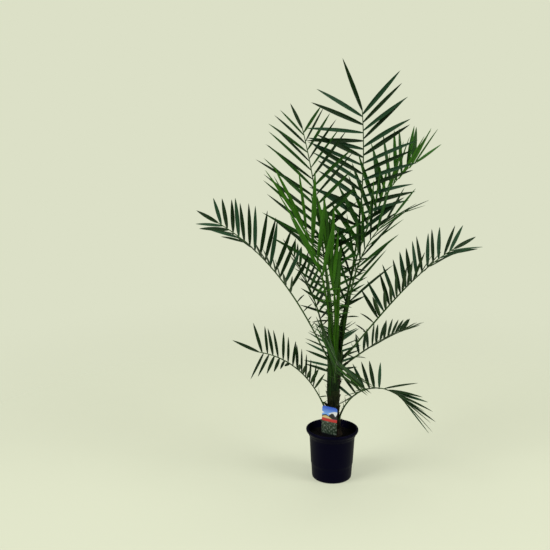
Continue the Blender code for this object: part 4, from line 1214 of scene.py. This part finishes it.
def rib_lines(name, ribs, tree, material):
    """The ribs as one piece, each grown along its own line."""
    verts, edges, sides, girths = [], [], [], []
    for rib in ribs:
        edges += [(k, k + 1) for k in range(len(verts), len(verts) + CURVE_STEPS)]
        for k in range(CURVE_STEPS + 1):
            point, _, left, _ = rib.at(k / CURVE_STEPS)
            verts.append(point)
            sides.append(left)
            girths.append(rib.half_sizes(k / CURVE_STEPS)[0])
    piece = add_mesh(name, verts, [], edges=edges)
    add_attribute(piece.data, "side", "FLOAT_VECTOR", sides)
    add_attribute(piece.data, "girth", "FLOAT", girths)
    return grow(piece, tree, {"Skin": material, **RIB_PROFILE})


def leaf_base(name, rib, material):
    """The sheath at a frond's foot: it wraps the trunk below and draws in to the petiole."""
    frond = rib.frond
    crown = frond.height >= TRUNK_TOP
    out = outwards(frond.seat)
    around = Vector((-out.y, out.x, 0))
    stagger = CROWN_SHEATH_STAGGER * frond.seat % CROWN_SHEATH_SPREAD
    low = CROWN_SHEATH_FOOT + stagger if crown else frond.height - SHEATH_DROP
    begin = trunk_center(low) + out * (trunk_radius(low) + SHEATH_CLEARANCE)
    end, along, left, over = rib.at((CROWN_SHEATH_REACH if crown else SHEATH_REACH) / frond.length)
    half_width, half_depth = rib.half_sizes(SHEATH_MATCH)
    if left.dot(around) < 0:
        left = -left
    reach = (end - begin).length
    a, b = begin + Vector((0, 0, reach * SHEATH_RISE)), end - along * reach * SHEATH_LEAD
    verts, faces = [], []
    for k in range(SHEATH_ROWS + 1):
        t = k / SHEATH_ROWS
        middle = begin * (1 - t) ** 3 + a * 3 * t * (1 - t) ** 2 + b * 3 * t * t * (1 - t) + end * t ** 3
        ease = t * t * (3 - 2 * t)
        outward = (out * (1 - ease) - over * ease).normalized()
        across = (around * (1 - ease) + left * ease).normalized()
        half = half_width + (SHEATH_HALF_WIDTH - half_width) * (1 - ease)
        thick = half_depth + (SHEATH_THICKNESS - half_depth) * (1 - ease)
        wrap = (1 - ease) * SHEATH_WRAP / trunk_radius(low)
        for shell in SHEATH_FACES:
            for c in range(SHEATH_COLUMNS):
                u = 2 * c / (SHEATH_COLUMNS - 1) - 1
                x = half * u
                lift = shell * thick * math.sqrt(max(0.0, 1 - u * u)) - wrap * x * x
                verts.append(middle + across * x + outward * lift)
    wide = SHEATH_COLUMNS
    ring = [*range(wide), *(2 * wide - 1 - c for c in range(1, wide - 1))]
    for k in range(SHEATH_ROWS):
        low_ring = [2 * wide * k + i for i in ring]
        high_ring = [2 * wide * (k + 1) + i for i in ring]
        for i in range(len(ring)):
            j = (i + 1) % len(ring)
            faces.append((low_ring[i], low_ring[j], high_ring[j], high_ring[i]))
    faces.append(tuple(reversed(ring)))
    faces.append(tuple(2 * wide * SHEATH_ROWS + i for i in ring))
    base = add_mesh(name, verts, faces, material, smooth=60)
    face_outwards(base)
    return base


def make_spear(material):
    """The youngest leaf, still shut: a slender pleated spear in the middle of the crown."""
    verts = []
    for k in range(SPEAR_RINGS + 1):
        t = k / SPEAR_RINGS
        swell = min(1.0, SPEAR_FOOT_SHARE + SPEAR_SWELL * t)
        thick = SPEAR_RADIUS * swell * (1 - t ** SPEAR_TAPER) + SPEAR_TIP_RADIUS
        middle = Vector((TRUNK_TOP_X + SPEAR_PLACE[0] + SPEAR_LEAN[0] * t * t,
                         SPEAR_PLACE[1] + SPEAR_LEAN[1] * t, SPEAR_FOOT + SPEAR_LENGTH * t))
        for i, (x, y) in enumerate(circle(SPEAR_SIDES)):
            verts.append(middle + Vector((x, y, 0)) * thick * (1 - SPEAR_PLEAT * (i % 2)))
    return add_mesh("spear_leaf", verts, capped_faces(SPEAR_RINGS + 1, SPEAR_SIDES), material, smooth=70)


def frond_nodes(fronds):
    """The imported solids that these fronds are."""
    names = [frond.name for frond in fronds]
    return names + [name + "_foot" for name in names if name in SPLIT_FRONDS]


def make_foliage(blades):
    """Leaflets joined by colour, and the ribs, spines and leaf bases that carry them."""
    open_blade = leaflet_pattern("open_blade", OPEN_FOLD)
    shut_blade = leaflet_pattern("shut_blade", SHUT_FOLD)
    trunk = solid_tree("trunk")
    ribs = [seated_rib(frond, trunk) for frond in FRONDS]
    by_tone = {tone: [] for tone in LEAF_TONES}
    spines = []
    for i, rib in enumerate(ribs):
        tones = rib.frond.tones
        for k, row in enumerate(leaflet_rows(rib, LEAFLET_SEED + i)):
            by_tone[tones[(k // 2) % len(tones)]].append(row)
        sharp, lowest = spine_rows(rib, SPINE_SEED + i)
        spines += sharp
        by_tone[tones[0]] += lowest
    for tone, (upper, under) in LEAF_TONES.items():
        skins = leaf_material(f"leaf_{tone}", upper, 0.40), leaf_material(f"leaf_{tone}_under", under, 0.52)
        pattern = shut_blade if tone == "bright" else open_blade
        piece = blades_from(f"leaflets_{tone}", by_tone[tone], pattern, blades, *skins)
        held = [frond for frond in FRONDS if tone in frond.tones]
        dress(piece, "young_leaf" if tone == "bright" else "leaf", *frond_nodes(held))
    stem = stem_material("rib_skin", *RIB_GREENS)
    young_stem = stem_material("young_rib_skin", *YOUNG_RIB_GREENS)
    spine = spine_pattern()
    dress(blades_from("petiole_spines", spines, spine, blades, stem, stem), "leaf")
    remove(open_blade, shut_blade, spine)
    grower = rib_tree()
    for name, young, skin in (("ribs", False, stem), ("young_ribs", True, young_stem)):
        chosen = [rib for rib in ribs if rib.frond.young == young]
        piece = rib_lines(name, chosen, grower, skin)
        dress(piece, "young_leaf" if young else "leaf", *frond_nodes([rib.frond for rib in chosen]))
    sheaths = {name: sheath_material(f"{name}_sheath", *tones) for name, tones in SHEATH_SKINS.items()}
    bases = []
    for i, rib in enumerate(ribs):
        side = "brown" if outwards(rib.frond.seat).x > RIGHT_SEATS else "green"
        bases.append(leaf_base(f"base_{i}", rib, sheaths["shoot" if rib.frond.young else side]))
    dress(joined("leaf_bases", bases), "leaf")
    dress(make_spear(young_stem), "young_leaf")


def make_trunk_pieces(blades, scatter):
    bark = trunk_material()
    dress(make_trunk(bark), "trunk_fibre", "trunk")
    rows = [stub_row(BOOT_TURN * i, boot_foot(i), *STUB_SIZES) for i in range(BOOT_COUNT)]
    rows.append(stub_row(OLD_STUB_TURN, OLD_STUB_FOOT, *OLD_STUB_SIZES))
    stub, fibre = stub_pattern(), fibre_pattern()
    dress(blades_from("leaf_stubs", rows, stub, blades, bark, bark), "trunk_fibre")
    coat = trunk_coat()
    grow(coat, scatter, {"Pattern": fibre, "Skin": fibre_material(), **FIBRE_STREWING})
    dress(coat, "trunk_fibre")
    remove(stub, fibre)


def stub_row(turn, foot, length, splay, breadth, bow):
    """A stub that stands on the trunk and looks outwards."""
    out = outwards(turn)
    root = trunk_center(foot) + out * (trunk_radius(foot) - STUB_SINK)
    return blade_row(root, root + Vector((0, 0, length)) + out * splay, out, breadth, out * bow)


def trunk_coat():
    """A skirt of small faces on the trunk that look upwards, for the fibres to stand on."""
    verts, faces = [], []
    span = TRUNK_TOP - TRUNK_FOOT - COAT_MARGINS
    for k in range(COAT_ROWS):
        height = TRUNK_FOOT + COAT_START + span * k / (COAT_ROWS - 1)
        for i in range(COAT_COLUMNS):
            middle = math.tau * (i + 0.5 * (k % 2)) / COAT_COLUMNS
            faces.append(tuple(range(len(verts), len(verts) + len(COAT_FACE))))
            for turn, rise, reach in COAT_FACE:
                x, y = math.cos(middle + turn), math.sin(middle + turn)
                verts.append(trunk_center(height + rise) + Vector((x, y, 0)) * (trunk_radius(height) + reach))
    return add_mesh("trunk_fibres", verts, faces)


def area_light(name, place, width, height, power):
    light = bpy.data.lights.new(name, "AREA")
    light.shape = "RECTANGLE"
    light.size, light.size_y = width, height
    light.energy = power
    obj = bpy.data.objects.new(name, light)
    bpy.context.scene.collection.objects.link(obj)
    obj.location = place
    obj.rotation_euler = (Vector(LIT_PLACE) - Vector(place)).to_track_quat("-Z", "Y").to_euler()


def make_studio():
    """A pale floor and backdrop, soft lights round the plant, and the camera."""
    side = FLOOR_HALF_SIDE
    corners = [(-side, -side, 0), (side, -side, 0), (side, side, 0), (-side, side, 0)]
    add_mesh("studio_floor", corners, [(0, 1, 2, 3)], floor_material())
    world = bpy.data.worlds.new("studio")
    world.use_nodes = True
    nodes = Nodes(world.node_tree)
    seen = nodes.add("ShaderNodeLightPath").outputs["Is Camera Ray"]
    nodes.feed(world.node_tree.nodes["Background"], Color=BACKDROP,
               Strength=nodes.spread(seen, to=(BACKDROP_GLOW, 1.0)))
    bpy.context.scene.world = world
    for light in SOFT_LIGHTS:
        area_light(*light)
    camera = bpy.data.cameras.new("camera")
    camera.sensor_width = SENSOR
    camera.lens = SENSOR * FOCAL_PIXELS / PHOTO_SIDE
    camera.clip_start, camera.clip_end = CAMERA_REACH
    obj = bpy.data.objects.new("camera", camera)
    bpy.context.scene.collection.objects.link(obj)
    obj.location = CAMERA_PLACE
    obj.rotation_euler = (math.radians(90 - CAMERA_PITCH), 0, 0)
    bpy.context.scene.camera = obj
    bpy.context.scene.view_settings.view_transform = "Standard"


def main():
    blades, scatter = blade_tree(), scatter_tree()
    make_foliage(blades)
    make_trunk_pieces(blades, scatter)
    dress(make_pot(pot_material()), "pot_plastic", "pot")
    dress(make_soil(soil_material("compost", *COMPOST_BROWNS)), "compost", "compost")
    dress(make_crumbs(scatter, soil_material("compost_crumb", *CRUMB_BROWNS)), "compost")
    dress(make_tag(tag_material()), "tag_card", "care_tag")
    make_studio()


main()
